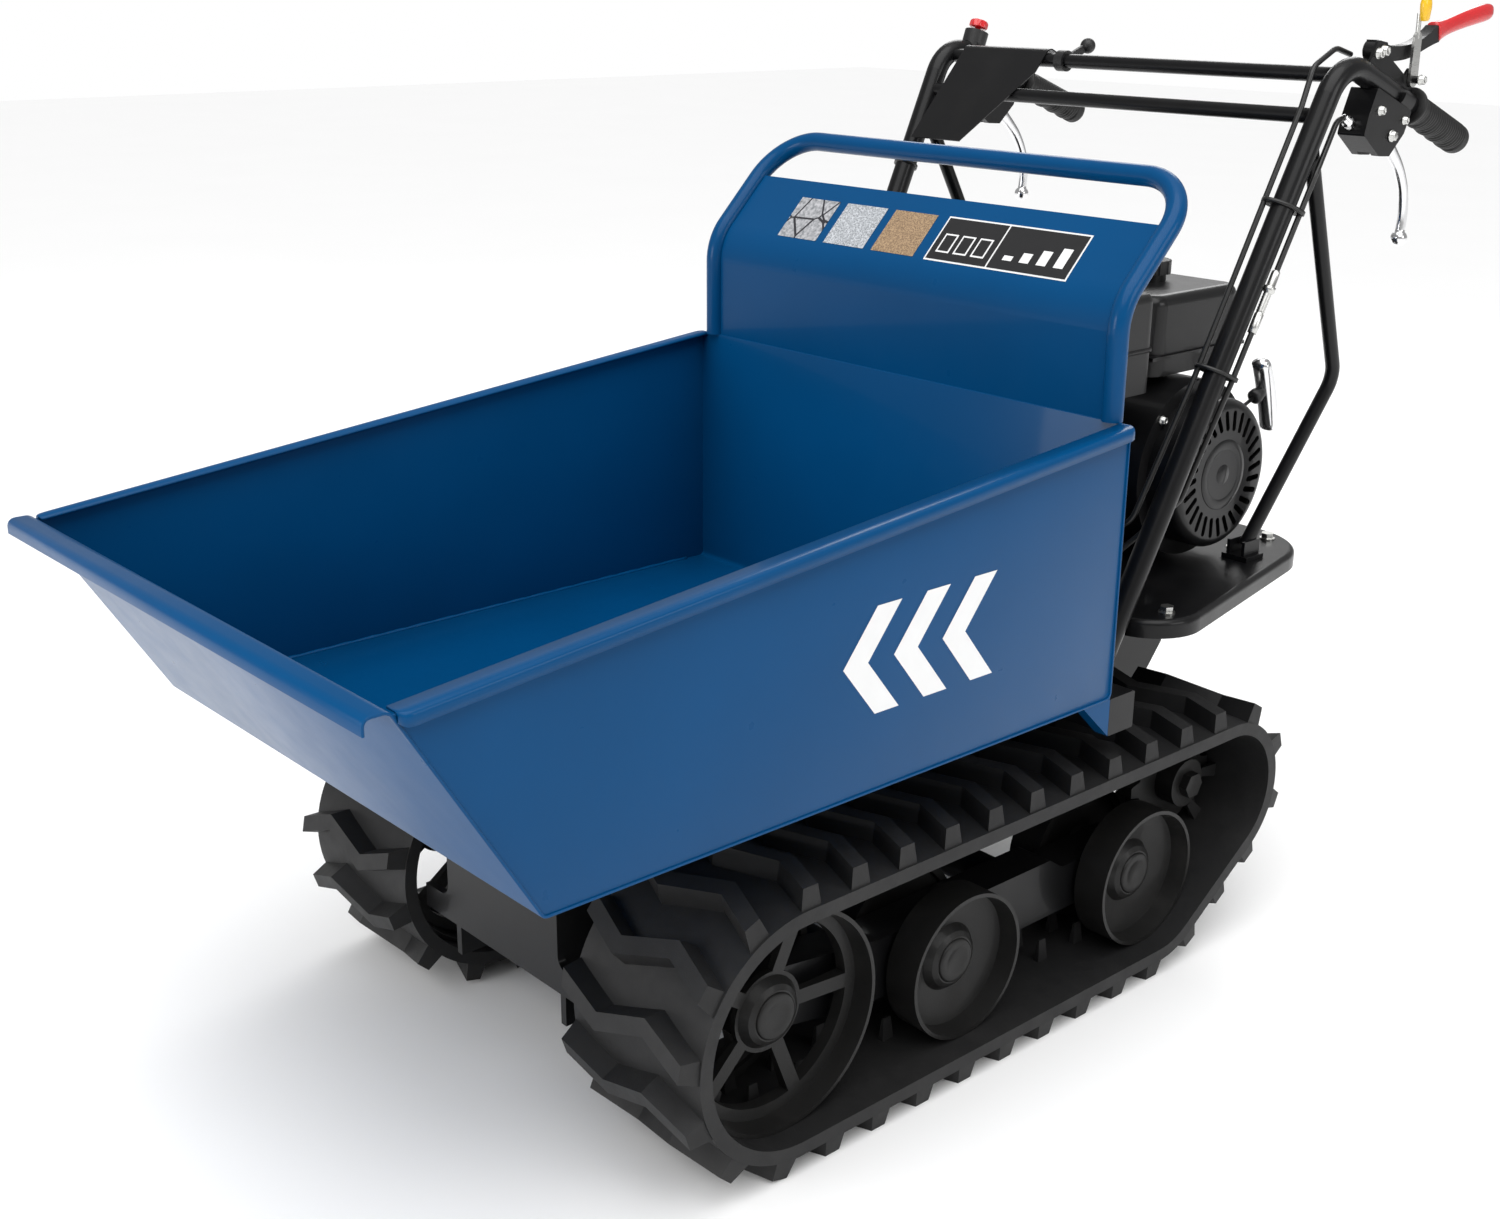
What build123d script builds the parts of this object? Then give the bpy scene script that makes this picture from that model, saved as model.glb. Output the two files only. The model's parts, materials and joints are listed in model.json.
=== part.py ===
"""Tracked mini dumper: a walk-behind power wheelbarrow with a tipping tub, two rubber tracks and an engine.

Millimetres. +Z is up, the tub's lip points along -Y and the operator stands at +Y.
The origin is on the ground, in the middle of the machine's overall box.  Left is the operator's left, +X.
"""
import os
from math import atan2, cos, hypot, radians, sin, tan

from build123d import *

os.makedirs("parts", exist_ok=True)

# ---------------------------------------------------------------- driving dimensions
# overall
tub_length = 840.0            # front lip to the tub's rear face
lever_reach = 683.0           # tub's rear face to the tip of the drive lever
overall_width = 651.0         # over the tub's rim and over the tracks
rear_y = (tub_length - lever_reach) / 2      # the tub's rear face
lip_y = rear_y - tub_length

# fits
seat_gap = 0.3                # pieces that lie on each other
run_gap = 0.05                # radial clearance of a turning shaft
side_gap = 0.6                # beside a piece that swings or turns

# tub
tub_sheet = 2.5
tub_bottom_z = 355.0
tub_front_foot_y = rear_y - 695.0            # where the floor turns up into the front ramp
tub_lip_z = 558.0
tub_rear_z = 636.0
rim_width = 22.0
rim_overhang = 9.5
rim_drop = 12.0
lip_width = 22.0
tub_side_x = overall_width / 2 - rim_overhang
ramp_run = tub_front_foot_y - lip_y - lip_width
hoop_radius = 10.5
hoop_half_width = 293.0
hoop_knee_z = 745.0
hoop_top_y = rear_y + 108.0
hoop_top_z = 855.0
hoop_corner = 60.0
shield_sheet = 2.0
hand_gap = 46.0               # between the shield's top edge and the hoop's top tube

# tub hinge
pin_y = rear_y - 498.5
pin_z = tub_bottom_z - 43.0
pin_radius = 8.0
ear_thickness = 8.0
ear_radius = 20.0

# tracks
track_width = 180.0
track_outer_x = overall_width / 2
track_x = track_outer_x - track_width / 2
lug_height = 20.0
lug_count = 32
lug_length = 25.0
lug_zigzag = 11.0
belt_thickness = 14.0
horn_height = 24.0
horn_thickness = 8.0
horn_offset = 17.0
horn_length = 16.0
idler_y = rear_y - 421.0
idler_belt_radius = 125.0
idler_z = lug_height + idler_belt_radius
roller_front_y = rear_y - 178.0
roller_rear_y = rear_y + 111.0
roller_belt_radius = 91.4
roller_z = lug_height + roller_belt_radius
sprocket_y = rear_y + 218.0
sprocket_belt_radius = 88.0
sprocket_z = 182.0
sprocket_teeth = 8

# wheels
wheel_outer_offset = 65.5     # wheel rim beside the middle of the track
wheel_inner_offset = 27.0
hub_cap_offset = 47.5
beam_half_width = 22.0
spindle_radius = 9.0
shaft_radius = 12.5

# chassis
rail_x = 90.0
rail_thickness = 8.0
rail_bottom_z = 85.0
rail_top_z = 215.0
bar_size = 40.0
bar_wall = 3.0
cross_tube_radius = 20.0
cross_tube_z = 125.0
beam_bottom_z = 88.0
beam_top_z = 140.0
front_plate_bottom_z = 125.0

# engine deck
deck_top_z = 400.0
deck_depth = 20.0
deck_sheet = 3.0
deck_front_y = rear_y + 104.0
deck_rear_y = rear_y + 502.0
deck_half_front = 310.0
deck_half_rear = 222.0
deck_front_corner = 60.0
deck_rear_corner = 90.0
deck_edge = 6.5               # rounding of the tray's top edge

# engine
crank_y = rear_y + 335.0
crank_height = 106.0
crank_z = deck_top_z + crank_height
crank_radius = 10.0
block_left_x = 72.0
block_right_x = -62.0
block_half_y = 92.0
block_top_z = deck_top_z + 158.0
cylinder_tilt = 12.0
cylinder_size = 96.0
cylinder_reach = 150.0
head_thickness = 36.0
blower_radius = 102.0
blower_right_x = block_left_x + 3.0 + seat_gap
blower_left_x = 158.0
blower_wall = 2.5
recoil_radius = 86.0
recoil_outer_x = 200.0
recoil_slots = 28
flywheel_radius = 88.0
tank_half_x = 130.0
tank_front_y = rear_y + 281.0
tank_rear_y = rear_y + 449.0
tank_bottom_z = 612.0
tank_top_z = 703.0
filter_front_y = rear_y + 126.0
filter_rear_y = rear_y + 258.0
filter_left_x = 150.0
filter_right_x = 2.0
filter_bottom_z = 604.0
filter_top_z = 714.0

# belt drive
pulley_x = -118.0
pulley_width = 16.0
engine_pulley_radius = 36.0
gearbox_pulley_radius = 60.0
gearbox_pulley_y = rear_y + 262.0
gearbox_pulley_z = 262.0
belt_width = 11.0
drive_belt_thickness = 8.0
gearbox_half_x = 72.0

# handlebars
handle_radius = 12.5
handle_foot_x, handle_foot_y, handle_foot_z = 250.0, rear_y + 52.8, 334.0
handle_knee_x, handle_knee_y, handle_knee_z = 277.0, rear_y + 365.0, 961.0
handle_tip_x, handle_tip_y, handle_tip_z = 275.0, rear_y + 623.0, 866.0
handle_bend = 45.0
grip_radius = 17.0
grip_length = 122.0
crossbar_radius = 8.0
upper_bar_z = 944.0
upper_bar_y = rear_y + 372.0
lower_bar_z = 904.0
lower_bar_y = rear_y + 336.5
brace_radius = 8.0
brace_bend = 40.0
cable_radius = 3.0


# ---------------------------------------------------------------- helpers
def write(piece, node_name):
    piece.part.label = node_name
    export_step(piece.part, f"parts/{node_name}.step")


def side_plane(x):
    """A plane facing +X: its first axis is Y and its second is Z."""
    return Plane(origin=(x, 0, 0), x_dir=(0, 1, 0), z_dir=(1, 0, 0))


def axle_plane(x, y, z):
    """A plane through an axle along X: its first axis is X and its second is Z."""
    return Plane(origin=(x, y, z), x_dir=(1, 0, 0), z_dir=(0, -1, 0))


def along_x(x, y, z):
    """Places a cylinder's axis along X."""
    return Location((x, y, z), (0, 90, 0))


def bent_tube(points, radius, bend):
    """A round bar along straight runs joined by arcs."""
    with BuildPart() as bar:
        with BuildLine() as route:
            if len(points) > 2:
                FilletPolyline(*points, radius=bend)
            else:
                Line(*points)
        with BuildSketch(Plane(origin=route.line @ 0, z_dir=route.line % 0)):
            Circle(radius)
        sweep()
    return bar.part


def mirrored_x(point):
    return (-point[0], point[1], point[2])


# ---------------------------------------------------------------- tub
with BuildPart() as tub_shell:
    with BuildSketch(side_plane(-tub_side_x)):
        with BuildLine():
            Polyline((lip_y + lip_width, tub_lip_z), (tub_front_foot_y, tub_bottom_z),
                     (rear_y, tub_bottom_z), (rear_y, tub_rear_z), close=True)
        make_face()
    extrude(amount=2 * tub_side_x)
    slope_face = tub_shell.faces().sort_by(Axis.Z)[-1]
    offset(amount=-tub_sheet, openings=slope_face, kind=Kind.INTERSECTION)
    for side in (1, -1):                     # side rims, folded out and down
        inner_x = side * (overall_width / 2 - rim_width)
        outer_x = side * overall_width / 2
        with BuildSketch(side_plane(min(inner_x, outer_x))):
            Polygon((lip_y + lip_width + 6, tub_lip_z), (rear_y, tub_rear_z),
                    (rear_y, tub_rear_z - tub_sheet), (lip_y + lip_width + 6, tub_lip_z - tub_sheet),
                    align=None)
        extrude(amount=rim_width)
        with BuildSketch(side_plane(side * (overall_width / 2 - tub_sheet / 2) - tub_sheet / 2)):
            Polygon((lip_y + lip_width + 6, tub_lip_z), (rear_y, tub_rear_z),
                    (rear_y, tub_rear_z - rim_drop), (lip_y + lip_width + 6, tub_lip_z - rim_drop),
                    align=None)
        extrude(amount=tub_sheet)
    lip_root_z = 2 * tub_sheet               # the lip's fold runs down inside the ramp's sheet
    lip_root_y = lip_width + lip_root_z * ramp_run / (tub_lip_z - tub_bottom_z) + tub_sheet / 2
    with BuildSketch(side_plane(-tub_side_x)):                 # front lip, folded out and down
        Polygon((lip_y, tub_lip_z), (lip_y + lip_width, tub_lip_z),
                (lip_y + lip_root_y, tub_lip_z - lip_root_z),
                (lip_y + lip_width - tub_sheet, tub_lip_z - tub_sheet),
                (lip_y + tub_sheet, tub_lip_z - tub_sheet), (lip_y + tub_sheet, tub_lip_z - rim_drop),
                (lip_y, tub_lip_z - rim_drop), align=None)
    extrude(amount=2 * tub_side_x)
write(tub_shell, "tub_shell")

hoop_side = [(hoop_half_width, rear_y, tub_rear_z), (hoop_half_width, rear_y, hoop_knee_z),
             (hoop_half_width, hoop_top_y, hoop_top_z)]
with BuildPart() as tub_hoop:
    with BuildLine() as hoop_route:
        FilletPolyline(*hoop_side, *[mirrored_x(p) for p in reversed(hoop_side)], radius=hoop_corner)
    with BuildSketch(Plane(origin=hoop_route.line @ 0, z_dir=hoop_route.line % 0)):
        Circle(hoop_radius)
    sweep()
write(tub_hoop, "tub_hoop")

# the shield follows the hoop's bend and stops short of its top tube, which leaves the hand gap
hoop_slope = atan2(hoop_top_z - hoop_knee_z, hoop_top_y - rear_y)
hoop_run = hypot(hoop_top_z - hoop_knee_z, hoop_top_y - rear_y) - hoop_radius - hand_gap
shield_half_width = hoop_half_width - hoop_radius - seat_gap
with BuildPart() as rear_shield:
    with BuildSketch(side_plane(-shield_half_width)):
        with BuildLine():
            FilletPolyline((rear_y, tub_rear_z), (rear_y, hoop_knee_z),
                           (rear_y + hoop_run * cos(hoop_slope), hoop_knee_z + hoop_run * sin(hoop_slope)),
                           radius=hoop_corner)
        trace(line_width=shield_sheet)
    extrude(amount=2 * shield_half_width)
write(rear_shield, "rear_shield")

# hinge ears under the floor at the front, and two gussets at the rear corners
ear_x = rail_x + rail_thickness / 2 + side_gap + ear_thickness / 2
gusset_width = 16.0
gusset_length = 42.0
catch_z = tub_bottom_z + 14   # top of the catch that the latch hooks over
with BuildPart() as tub_brackets:
    for side in (1, -1):
        with BuildSketch(side_plane(side * ear_x - ear_thickness / 2)):
            with BuildLine():
                Polyline((pin_y - 60, tub_bottom_z), (pin_y - ear_radius * 0.8, pin_z - ear_radius * 0.6))
                ThreePointArc((pin_y - ear_radius * 0.8, pin_z - ear_radius * 0.6),
                              (pin_y, pin_z - ear_radius),
                              (pin_y + ear_radius * 0.8, pin_z - ear_radius * 0.6))
                Polyline((pin_y + ear_radius * 0.8, pin_z - ear_radius * 0.6), (pin_y + 60, tub_bottom_z),
                         (pin_y - 60, tub_bottom_z))
            make_face()
            with Locations((pin_y, pin_z)):
                Circle(pin_radius + run_gap, mode=Mode.SUBTRACT)
        extrude(amount=ear_thickness)
        with BuildSketch(side_plane(side * (tub_side_x - gusset_width / 2) - gusset_width / 2)):
            Polygon((rear_y - gusset_length, tub_bottom_z), (rear_y - seat_gap, tub_bottom_z),
                    (rear_y - seat_gap, tub_bottom_z - bar_size), align=None)
        extrude(amount=gusset_width)
    with Locations((0, rear_y + 15, catch_z - 4)):
        Box(34, 30, 8)
write(tub_brackets, "tub_brackets")

# ---------------------------------------------------------------- chassis
bar_top_z = tub_bottom_z - seat_gap
bar_bottom_z = bar_top_z - bar_size
idler_to_roller_y = (idler_y + idler_belt_radius - belt_thickness
                     + roller_front_y - roller_belt_radius + belt_thickness) / 2
roller_to_roller_y = (roller_front_y + roller_rear_y) / 2
deck_under_z = deck_top_z - deck_depth
cross_tube_places = [(idler_to_roller_y, cross_tube_z), (roller_to_roller_y, cross_tube_z)]

# the belt tensioner's roller presses on the back of the belt when the drive lever is pulled
belt_rise = atan2(crank_z - gearbox_pulley_z, crank_y - gearbox_pulley_y)
tension_z = deck_under_z - 46
tension_roller = 14.0
tension_gap = 3.0
belt_back_y = (gearbox_pulley_y + (tension_z - gearbox_pulley_z) / tan(belt_rise)
               + (gearbox_pulley_radius * 0.66 + engine_pulley_radius * 0.34) / sin(belt_rise))
tension_y = belt_back_y + tension_roller + tension_gap
tension_arm = 46.0
tension_pivot_y, tension_pivot_z = tension_y + 12, tension_z - tension_arm

with BuildPart() as chassis_rails:
    for side in (1, -1):
        with BuildSketch(side_plane(side * rail_x - rail_thickness / 2)):
            with BuildLine():
                Polyline((pin_y - ear_radius, pin_z), (pin_y - ear_radius, rail_bottom_z),
                         (sprocket_y + 30, rail_bottom_z), (crank_y + 60, gearbox_pulley_z),
                         (crank_y + 76, deck_under_z), (deck_front_y + 10, deck_under_z),
                         (rear_y + bar_size + 22, bar_bottom_z), (rear_y - 24, bar_bottom_z),
                         (rear_y - 90, rail_top_z), (pin_y + 70, rail_top_z), (pin_y + ear_radius, pin_z))
                ThreePointArc((pin_y + ear_radius, pin_z), (pin_y, pin_z + ear_radius),
                              (pin_y - ear_radius, pin_z))
            make_face()
            with Locations((pin_y, pin_z)):
                Circle(pin_radius, mode=Mode.SUBTRACT)
            with Locations(*cross_tube_places):
                Circle(cross_tube_radius, mode=Mode.SUBTRACT)
            with Locations((sprocket_y, sprocket_z)):
                Circle(shaft_radius + 2, mode=Mode.SUBTRACT)
            with Locations((gearbox_pulley_y, gearbox_pulley_z)):
                Circle(crank_radius + 2, mode=Mode.SUBTRACT)
        extrude(amount=rail_thickness)
    with Locations(along_x(-rail_x - rail_thickness / 2 - 4, tension_pivot_y, tension_pivot_z)):
        Cylinder(5, 8)                       # the belt tensioner's pin
write(chassis_rails, "chassis_rails")

with BuildPart() as tub_hinge_pin:
    pin_half = ear_x + ear_thickness / 2 + 4
    with Locations(along_x(0, pin_y, pin_z)):
        Cylinder(pin_radius, 2 * pin_half)
    with Locations(along_x(pin_half + 2.5, pin_y, pin_z), along_x(-pin_half - 2.5, pin_y, pin_z)):
        Cylinder(pin_radius + 4, 5)
write(tub_hinge_pin, "tub_hinge_pin")

front_plate_half = rail_x + rail_thickness / 2
front_plate_y = pin_y - ear_radius
front_foot_half = track_outer_x - track_width - 9
with BuildPart() as front_cross_beam:
    with BuildSketch(Plane(origin=(0, front_plate_y, 0), x_dir=(1, 0, 0), z_dir=(0, -1, 0))) as front_plate:
        Polygon((-front_foot_half, front_plate_bottom_z), (front_foot_half, front_plate_bottom_z),
                (front_foot_half, front_plate_bottom_z + 26), (front_plate_half, front_plate_bottom_z + 26),
                (front_plate_half, pin_z - 14), (-front_plate_half, pin_z - 14),
                (-front_plate_half, front_plate_bottom_z + 26), (-front_foot_half, front_plate_bottom_z + 26),
                align=None)
        fillet(front_plate.vertices().filter_by_position(Axis.Y, front_plate_bottom_z + 25,
                                                         front_plate_bottom_z + 27)
               .filter_by_position(Axis.X, -front_plate_half - 1, front_plate_half + 1), 14)
    extrude(amount=rail_thickness)
write(front_cross_beam, "front_cross_beam")

latch_bar_y = rear_y + bar_size + 10
latch_bar_z = bar_bottom_z + 20
latch_bar_radius = 7.0
latch_lugs = (-24.0, 27.0)
with BuildPart() as rear_cross_bar:
    with Locations((0, rear_y + bar_size / 2, bar_bottom_z + bar_size / 2)):
        Box(2 * tub_side_x, bar_size, bar_size)
        Box(2 * tub_side_x - 8, bar_size - 2 * bar_wall, bar_size - 2 * bar_wall, mode=Mode.SUBTRACT)
    fillet(rear_cross_bar.edges().filter_by(Axis.X).group_by(SortBy.LENGTH)[-1], 2.5)
    for lug_x in latch_lugs:                 # ears for the latch's shaft
        with Locations((lug_x, rear_y + bar_size + 10, latch_bar_z)):
            Box(6, 20, 22)
        with Locations(along_x(lug_x, latch_bar_y, latch_bar_z)):
            Cylinder(latch_bar_radius + run_gap, 8, mode=Mode.SUBTRACT)
write(rear_cross_bar, "rear_cross_bar")

beam_inner_x = track_x - beam_half_width
with BuildPart() as cross_tubes:
    for tube_y, tube_z in cross_tube_places:
        with Locations(along_x(0, tube_y, tube_z)):
            Cylinder(cross_tube_radius, 2 * beam_inner_x)
            Cylinder(cross_tube_radius - 3, 2 * beam_inner_x, mode=Mode.SUBTRACT)
write(cross_tubes, "cross_tubes")

with BuildPart() as track_beams:
    for side in (1, -1):
        with BuildSketch(side_plane(side * track_x - beam_half_width)) as beam_side:
            Polygon((idler_y - 26, idler_z - 26), (idler_y - 26, idler_z + 26), (idler_y + 40, idler_z + 26),
                    (idler_to_roller_y + 20, beam_top_z + 14), (roller_to_roller_y + 30, beam_top_z + 14),
                    (roller_to_roller_y + 50, beam_top_z), (roller_rear_y + 34, beam_top_z),
                    (roller_rear_y + 34, beam_bottom_z), (idler_to_roller_y, beam_bottom_z), align=None)
            fillet(beam_side.vertices(), 6)
            with Locations((idler_y, idler_z), (roller_front_y, roller_z), (roller_rear_y, roller_z)):
                Circle(spindle_radius + run_gap, mode=Mode.SUBTRACT)
        extrude(amount=2 * beam_half_width)
write(track_beams, "track_beams")


# ---------------------------------------------------------------- tracks
def belt_outline(inset):
    """The closed path of the belt, a set distance inside its outer surface."""
    with BuildSketch(Plane.YZ, mode=Mode.PRIVATE) as outline:
        for y, z, radius in ((idler_y, idler_z, idler_belt_radius),
                             (roller_rear_y, roller_z, roller_belt_radius),
                             (sprocket_y, sprocket_z, sprocket_belt_radius)):
            with Locations((y, z)):
                Circle(radius - inset)
        make_hull()
    return outline


def belt_planes(inset, start, facing):
    """A plane for each link, set in from the belt's face and facing out of the loop (1) or into it (-1)."""
    loop = belt_outline(inset).sketch.face().outer_wire()
    middle = Vector(0, (idler_y + sprocket_y) / 2, idler_z)
    planes = []
    for i in range(lug_count):
        place = loop.position_at((i + start) / lug_count)
        normal = loop.tangent_at((i + start) / lug_count).cross(Vector(1, 0, 0)).normalized()
        if normal.dot(place - middle) * facing < 0:
            normal = -normal
        planes.append(Plane(origin=place + Vector(track_x, 0, 0), x_dir=(1, 0, 0), z_dir=normal))
    return planes


lug_half = track_width / 2 - 1.5
lug_bend = 32.0
root_depth = 4.0              # how far lugs and horns are rooted in the belt
lug_front = [(-lug_half, lug_zigzag), (-lug_bend, -lug_zigzag), (lug_bend, lug_zigzag),
             (lug_half, -lug_zigzag)]
lug_corners = ([(x, y - lug_length / 2) for x, y in lug_front]
               + [(x, y + lug_length / 2) for x, y in reversed(lug_front)])
with BuildPart() as tread_lug:
    with BuildSketch():
        Polygon(*lug_corners, align=None)
    extrude(amount=lug_height + root_depth, taper=8)
with BuildPart() as horn_pair:
    with BuildSketch():
        with Locations((horn_offset, 0), (-horn_offset, 0)):
            Rectangle(horn_thickness, horn_length)
    extrude(amount=horn_height + root_depth, taper=6)
with BuildPart() as track_left:
    with BuildSketch(side_plane(track_x - track_width / 2)):
        add(belt_outline(0).sketch_local)
        add(belt_outline(belt_thickness).sketch_local, mode=Mode.SUBTRACT)
    extrude(amount=track_width)
    with Locations(*belt_planes(root_depth, 0.5, 1)):
        add(tread_lug.part)
    with Locations(*belt_planes(belt_thickness - root_depth, 0.0, -1)):
        add(horn_pair.part)
    with Locations((track_x, (idler_y + sprocket_y) / 2, -lug_height / 2)):      # worn flat by the ground
        Box(track_width, tub_length, lug_height, mode=Mode.SUBTRACT)
write(track_left, "track_left")

with BuildPart() as track_right:
    add(mirror(track_left.part, about=Plane.YZ))
write(track_right, "track_right")

# ---------------------------------------------------------------- wheels
wheel_gap = 0.3               # between a wheel and the belt it rolls on


def wheel_disc(radius, side):
    """Corners of half a dished disc, from the spindle out to the rim, for one side of the middle."""
    inner, outer = wheel_inner_offset, wheel_outer_offset
    corners = [(0, 0), (0, spindle_radius), (inner - 4, spindle_radius), (inner - 4, 24), (inner + 4, 28),
               (inner + 4, radius - 9), (inner, radius - 8), (inner, radius), (outer, radius),
               (outer, radius - 4), (inner + 18, radius - 7), (inner + 10, 36), (hub_cap_offset - 3, 30),
               (hub_cap_offset, 25), (hub_cap_offset, 0)]
    return [(side * u, v) for u, v in corners]


def wheel_pair(centre_x, y, z, radius):
    """Two dished discs on one spindle."""
    with BuildPart() as pair:
        with BuildSketch(axle_plane(centre_x, y, z)):
            Polygon(*wheel_disc(radius, 1), align=None)
            Polygon(*wheel_disc(radius, -1), align=None)
        revolve(axis=Axis((centre_x, y, z), (1, 0, 0)))
    return pair.part


for side, side_name in ((1, "left"), (-1, "right")):
    centre_x = side * track_x
    for wheel_name, wheel_y in (("road_wheel_front", roller_front_y), ("road_wheel_rear", roller_rear_y)):
        with BuildPart() as road_wheel:
            add(wheel_pair(centre_x, wheel_y, roller_z, roller_belt_radius - belt_thickness - wheel_gap))
        write(road_wheel, f"{wheel_name}_{side_name}")

    idler_radius = idler_belt_radius - belt_thickness - wheel_gap
    window_inner, window_outer, spoke_width = 40.0, idler_radius - 18, 15.0
    with BuildPart() as idler:
        add(wheel_pair(centre_x, idler_y, idler_z, idler_radius))
        with BuildSketch(side_plane(centre_x - wheel_outer_offset)):
            with Locations((idler_y, idler_z)):
                Circle(window_outer)
                Circle(window_inner, mode=Mode.SUBTRACT)
                with PolarLocations(0, 5):
                    with Locations((window_outer / 2, 0)):
                        Rectangle(window_outer, spoke_width, mode=Mode.SUBTRACT)
        extrude(amount=2 * wheel_outer_offset, mode=Mode.SUBTRACT)
    write(idler, f"idler_wheel_{side_name}")

    tooth_tip = sprocket_belt_radius - belt_thickness - 1.0
    tooth_root = tooth_tip - 16
    shaft_end = gearbox_half_x - 6
    with BuildPart() as sprocket:
        with BuildSketch(side_plane(centre_x - 10)):
            with Locations((sprocket_y, sprocket_z)):
                Circle(tooth_root)
                with PolarLocations(0, sprocket_teeth):
                    Polygon((tooth_root - 6, -11), (tooth_tip - 2, -6), (tooth_tip - 2, 6),
                            (tooth_root - 6, 11), align=None)
        extrude(amount=20)
        with Locations(along_x(centre_x + side * 2, sprocket_y, sprocket_z)):
            Cylinder(28, 62)
        with Locations(along_x(side * (shaft_end + track_x + 42) / 2, sprocket_y, sprocket_z)):
            Cylinder(shaft_radius, track_x + 42 - shaft_end)
        with BuildSketch(side_plane(side * (track_x + 38) - 5)):
            with Locations((sprocket_y, sprocket_z)):
                RegularPolygon(15, 6)
        extrude(amount=10)
    write(sprocket, f"drive_sprocket_{side_name}")
print("chassis and tracks written")

# ---------------------------------------------------------------- gearbox and belt drive
gearbox_front_y = sprocket_y - 52
gearbox_rear_y = gearbox_pulley_y + 56
gearbox_top_z = gearbox_pulley_z + 42
gearbox_bottom_z = sprocket_z - 48
with BuildPart() as gearbox_housing:
    with BuildSketch(side_plane(-gearbox_half_x)) as gearbox_side:
        Polygon((gearbox_front_y, gearbox_bottom_z), (sprocket_y + 48, gearbox_bottom_z),
                (gearbox_rear_y, gearbox_pulley_z - 40), (gearbox_rear_y, gearbox_top_z),
                (gearbox_pulley_y - 40, gearbox_top_z), (gearbox_front_y, sprocket_z + 44), align=None)
        fillet(gearbox_side.vertices(), 12)
    extrude(amount=2 * gearbox_half_x)
    with Locations(along_x(0, sprocket_y, sprocket_z)):
        Cylinder(34, 2 * (rail_x - rail_thickness / 2))
    with Locations(along_x(gearbox_half_x, sprocket_y, sprocket_z),
                   along_x(-gearbox_half_x, sprocket_y, sprocket_z)):
        Cylinder(shaft_radius + run_gap, 60, mode=Mode.SUBTRACT)
    with Locations(along_x(-gearbox_half_x, gearbox_pulley_y, gearbox_pulley_z)):
        Cylinder(crank_radius + run_gap, 60, mode=Mode.SUBTRACT)
write(gearbox_housing, "gearbox_housing")


def pulley_profile(radius):
    """Corners of half a grooved pulley, from its axis outwards."""
    half = pulley_width / 2
    groove = radius - drive_belt_thickness - 1
    return [(-half, 0), (-half, radius + 2), (-half + 1.5, radius + 2), (-half + 2, groove),
            (half - 2, groove), (half - 1.5, radius + 2), (half, radius + 2), (half, 0)]


gearbox_shaft_inner = -gearbox_half_x + 22
with BuildPart() as gearbox_pulley:
    with BuildSketch(axle_plane(pulley_x, gearbox_pulley_y, gearbox_pulley_z)):
        Polygon(*pulley_profile(gearbox_pulley_radius), align=None)
    revolve(axis=Axis((pulley_x, gearbox_pulley_y, gearbox_pulley_z), (1, 0, 0)))
    with Locations(along_x((pulley_x + gearbox_shaft_inner) / 2, gearbox_pulley_y, gearbox_pulley_z)):
        Cylinder(crank_radius, gearbox_shaft_inner - pulley_x)
    with Locations(along_x(pulley_x, gearbox_pulley_y, gearbox_pulley_z)):
        with PolarLocations(gearbox_pulley_radius * 0.55, 5):
            Cylinder(9, pulley_width, mode=Mode.SUBTRACT)
write(gearbox_pulley, "gearbox_pulley")

with BuildPart() as drive_belt:
    with BuildSketch(side_plane(pulley_x - belt_width / 2)):
        for inset, mode in ((0, Mode.ADD), (drive_belt_thickness, Mode.SUBTRACT)):
            with BuildSketch(side_plane(0), mode=Mode.PRIVATE) as belt_loop:
                with Locations((gearbox_pulley_y, gearbox_pulley_z)):
                    Circle(gearbox_pulley_radius - inset)
                with Locations((crank_y, crank_z)):
                    Circle(engine_pulley_radius - inset)
                make_hull()
            add(belt_loop.sketch_local, mode=mode)
    extrude(amount=belt_width)
write(drive_belt, "drive_belt")

# the tensioner's arm stands beside the rail
tension_plate_x = -rail_x - rail_thickness / 2 - seat_gap
with BuildPart() as belt_tensioner:
    with Locations(along_x(pulley_x, tension_y, tension_z)):
        Cylinder(tension_roller, belt_width + 2)
    with Locations(along_x((pulley_x + tension_plate_x) / 2, tension_y, tension_z)):
        Cylinder(5, tension_plate_x - pulley_x)
    with BuildSketch(side_plane(tension_plate_x - 5)):
        with BuildSketch(mode=Mode.PRIVATE) as arm_outline:
            with Locations((tension_y, tension_z)):
                Circle(8)
            with Locations((tension_pivot_y, tension_pivot_z)):
                Circle(10)
            make_hull()
        add(arm_outline.sketch_local)
        with Locations((tension_pivot_y, tension_pivot_z)):
            Circle(5 + run_gap, mode=Mode.SUBTRACT)
    extrude(amount=5)
write(belt_tensioner, "belt_tensioner")

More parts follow.
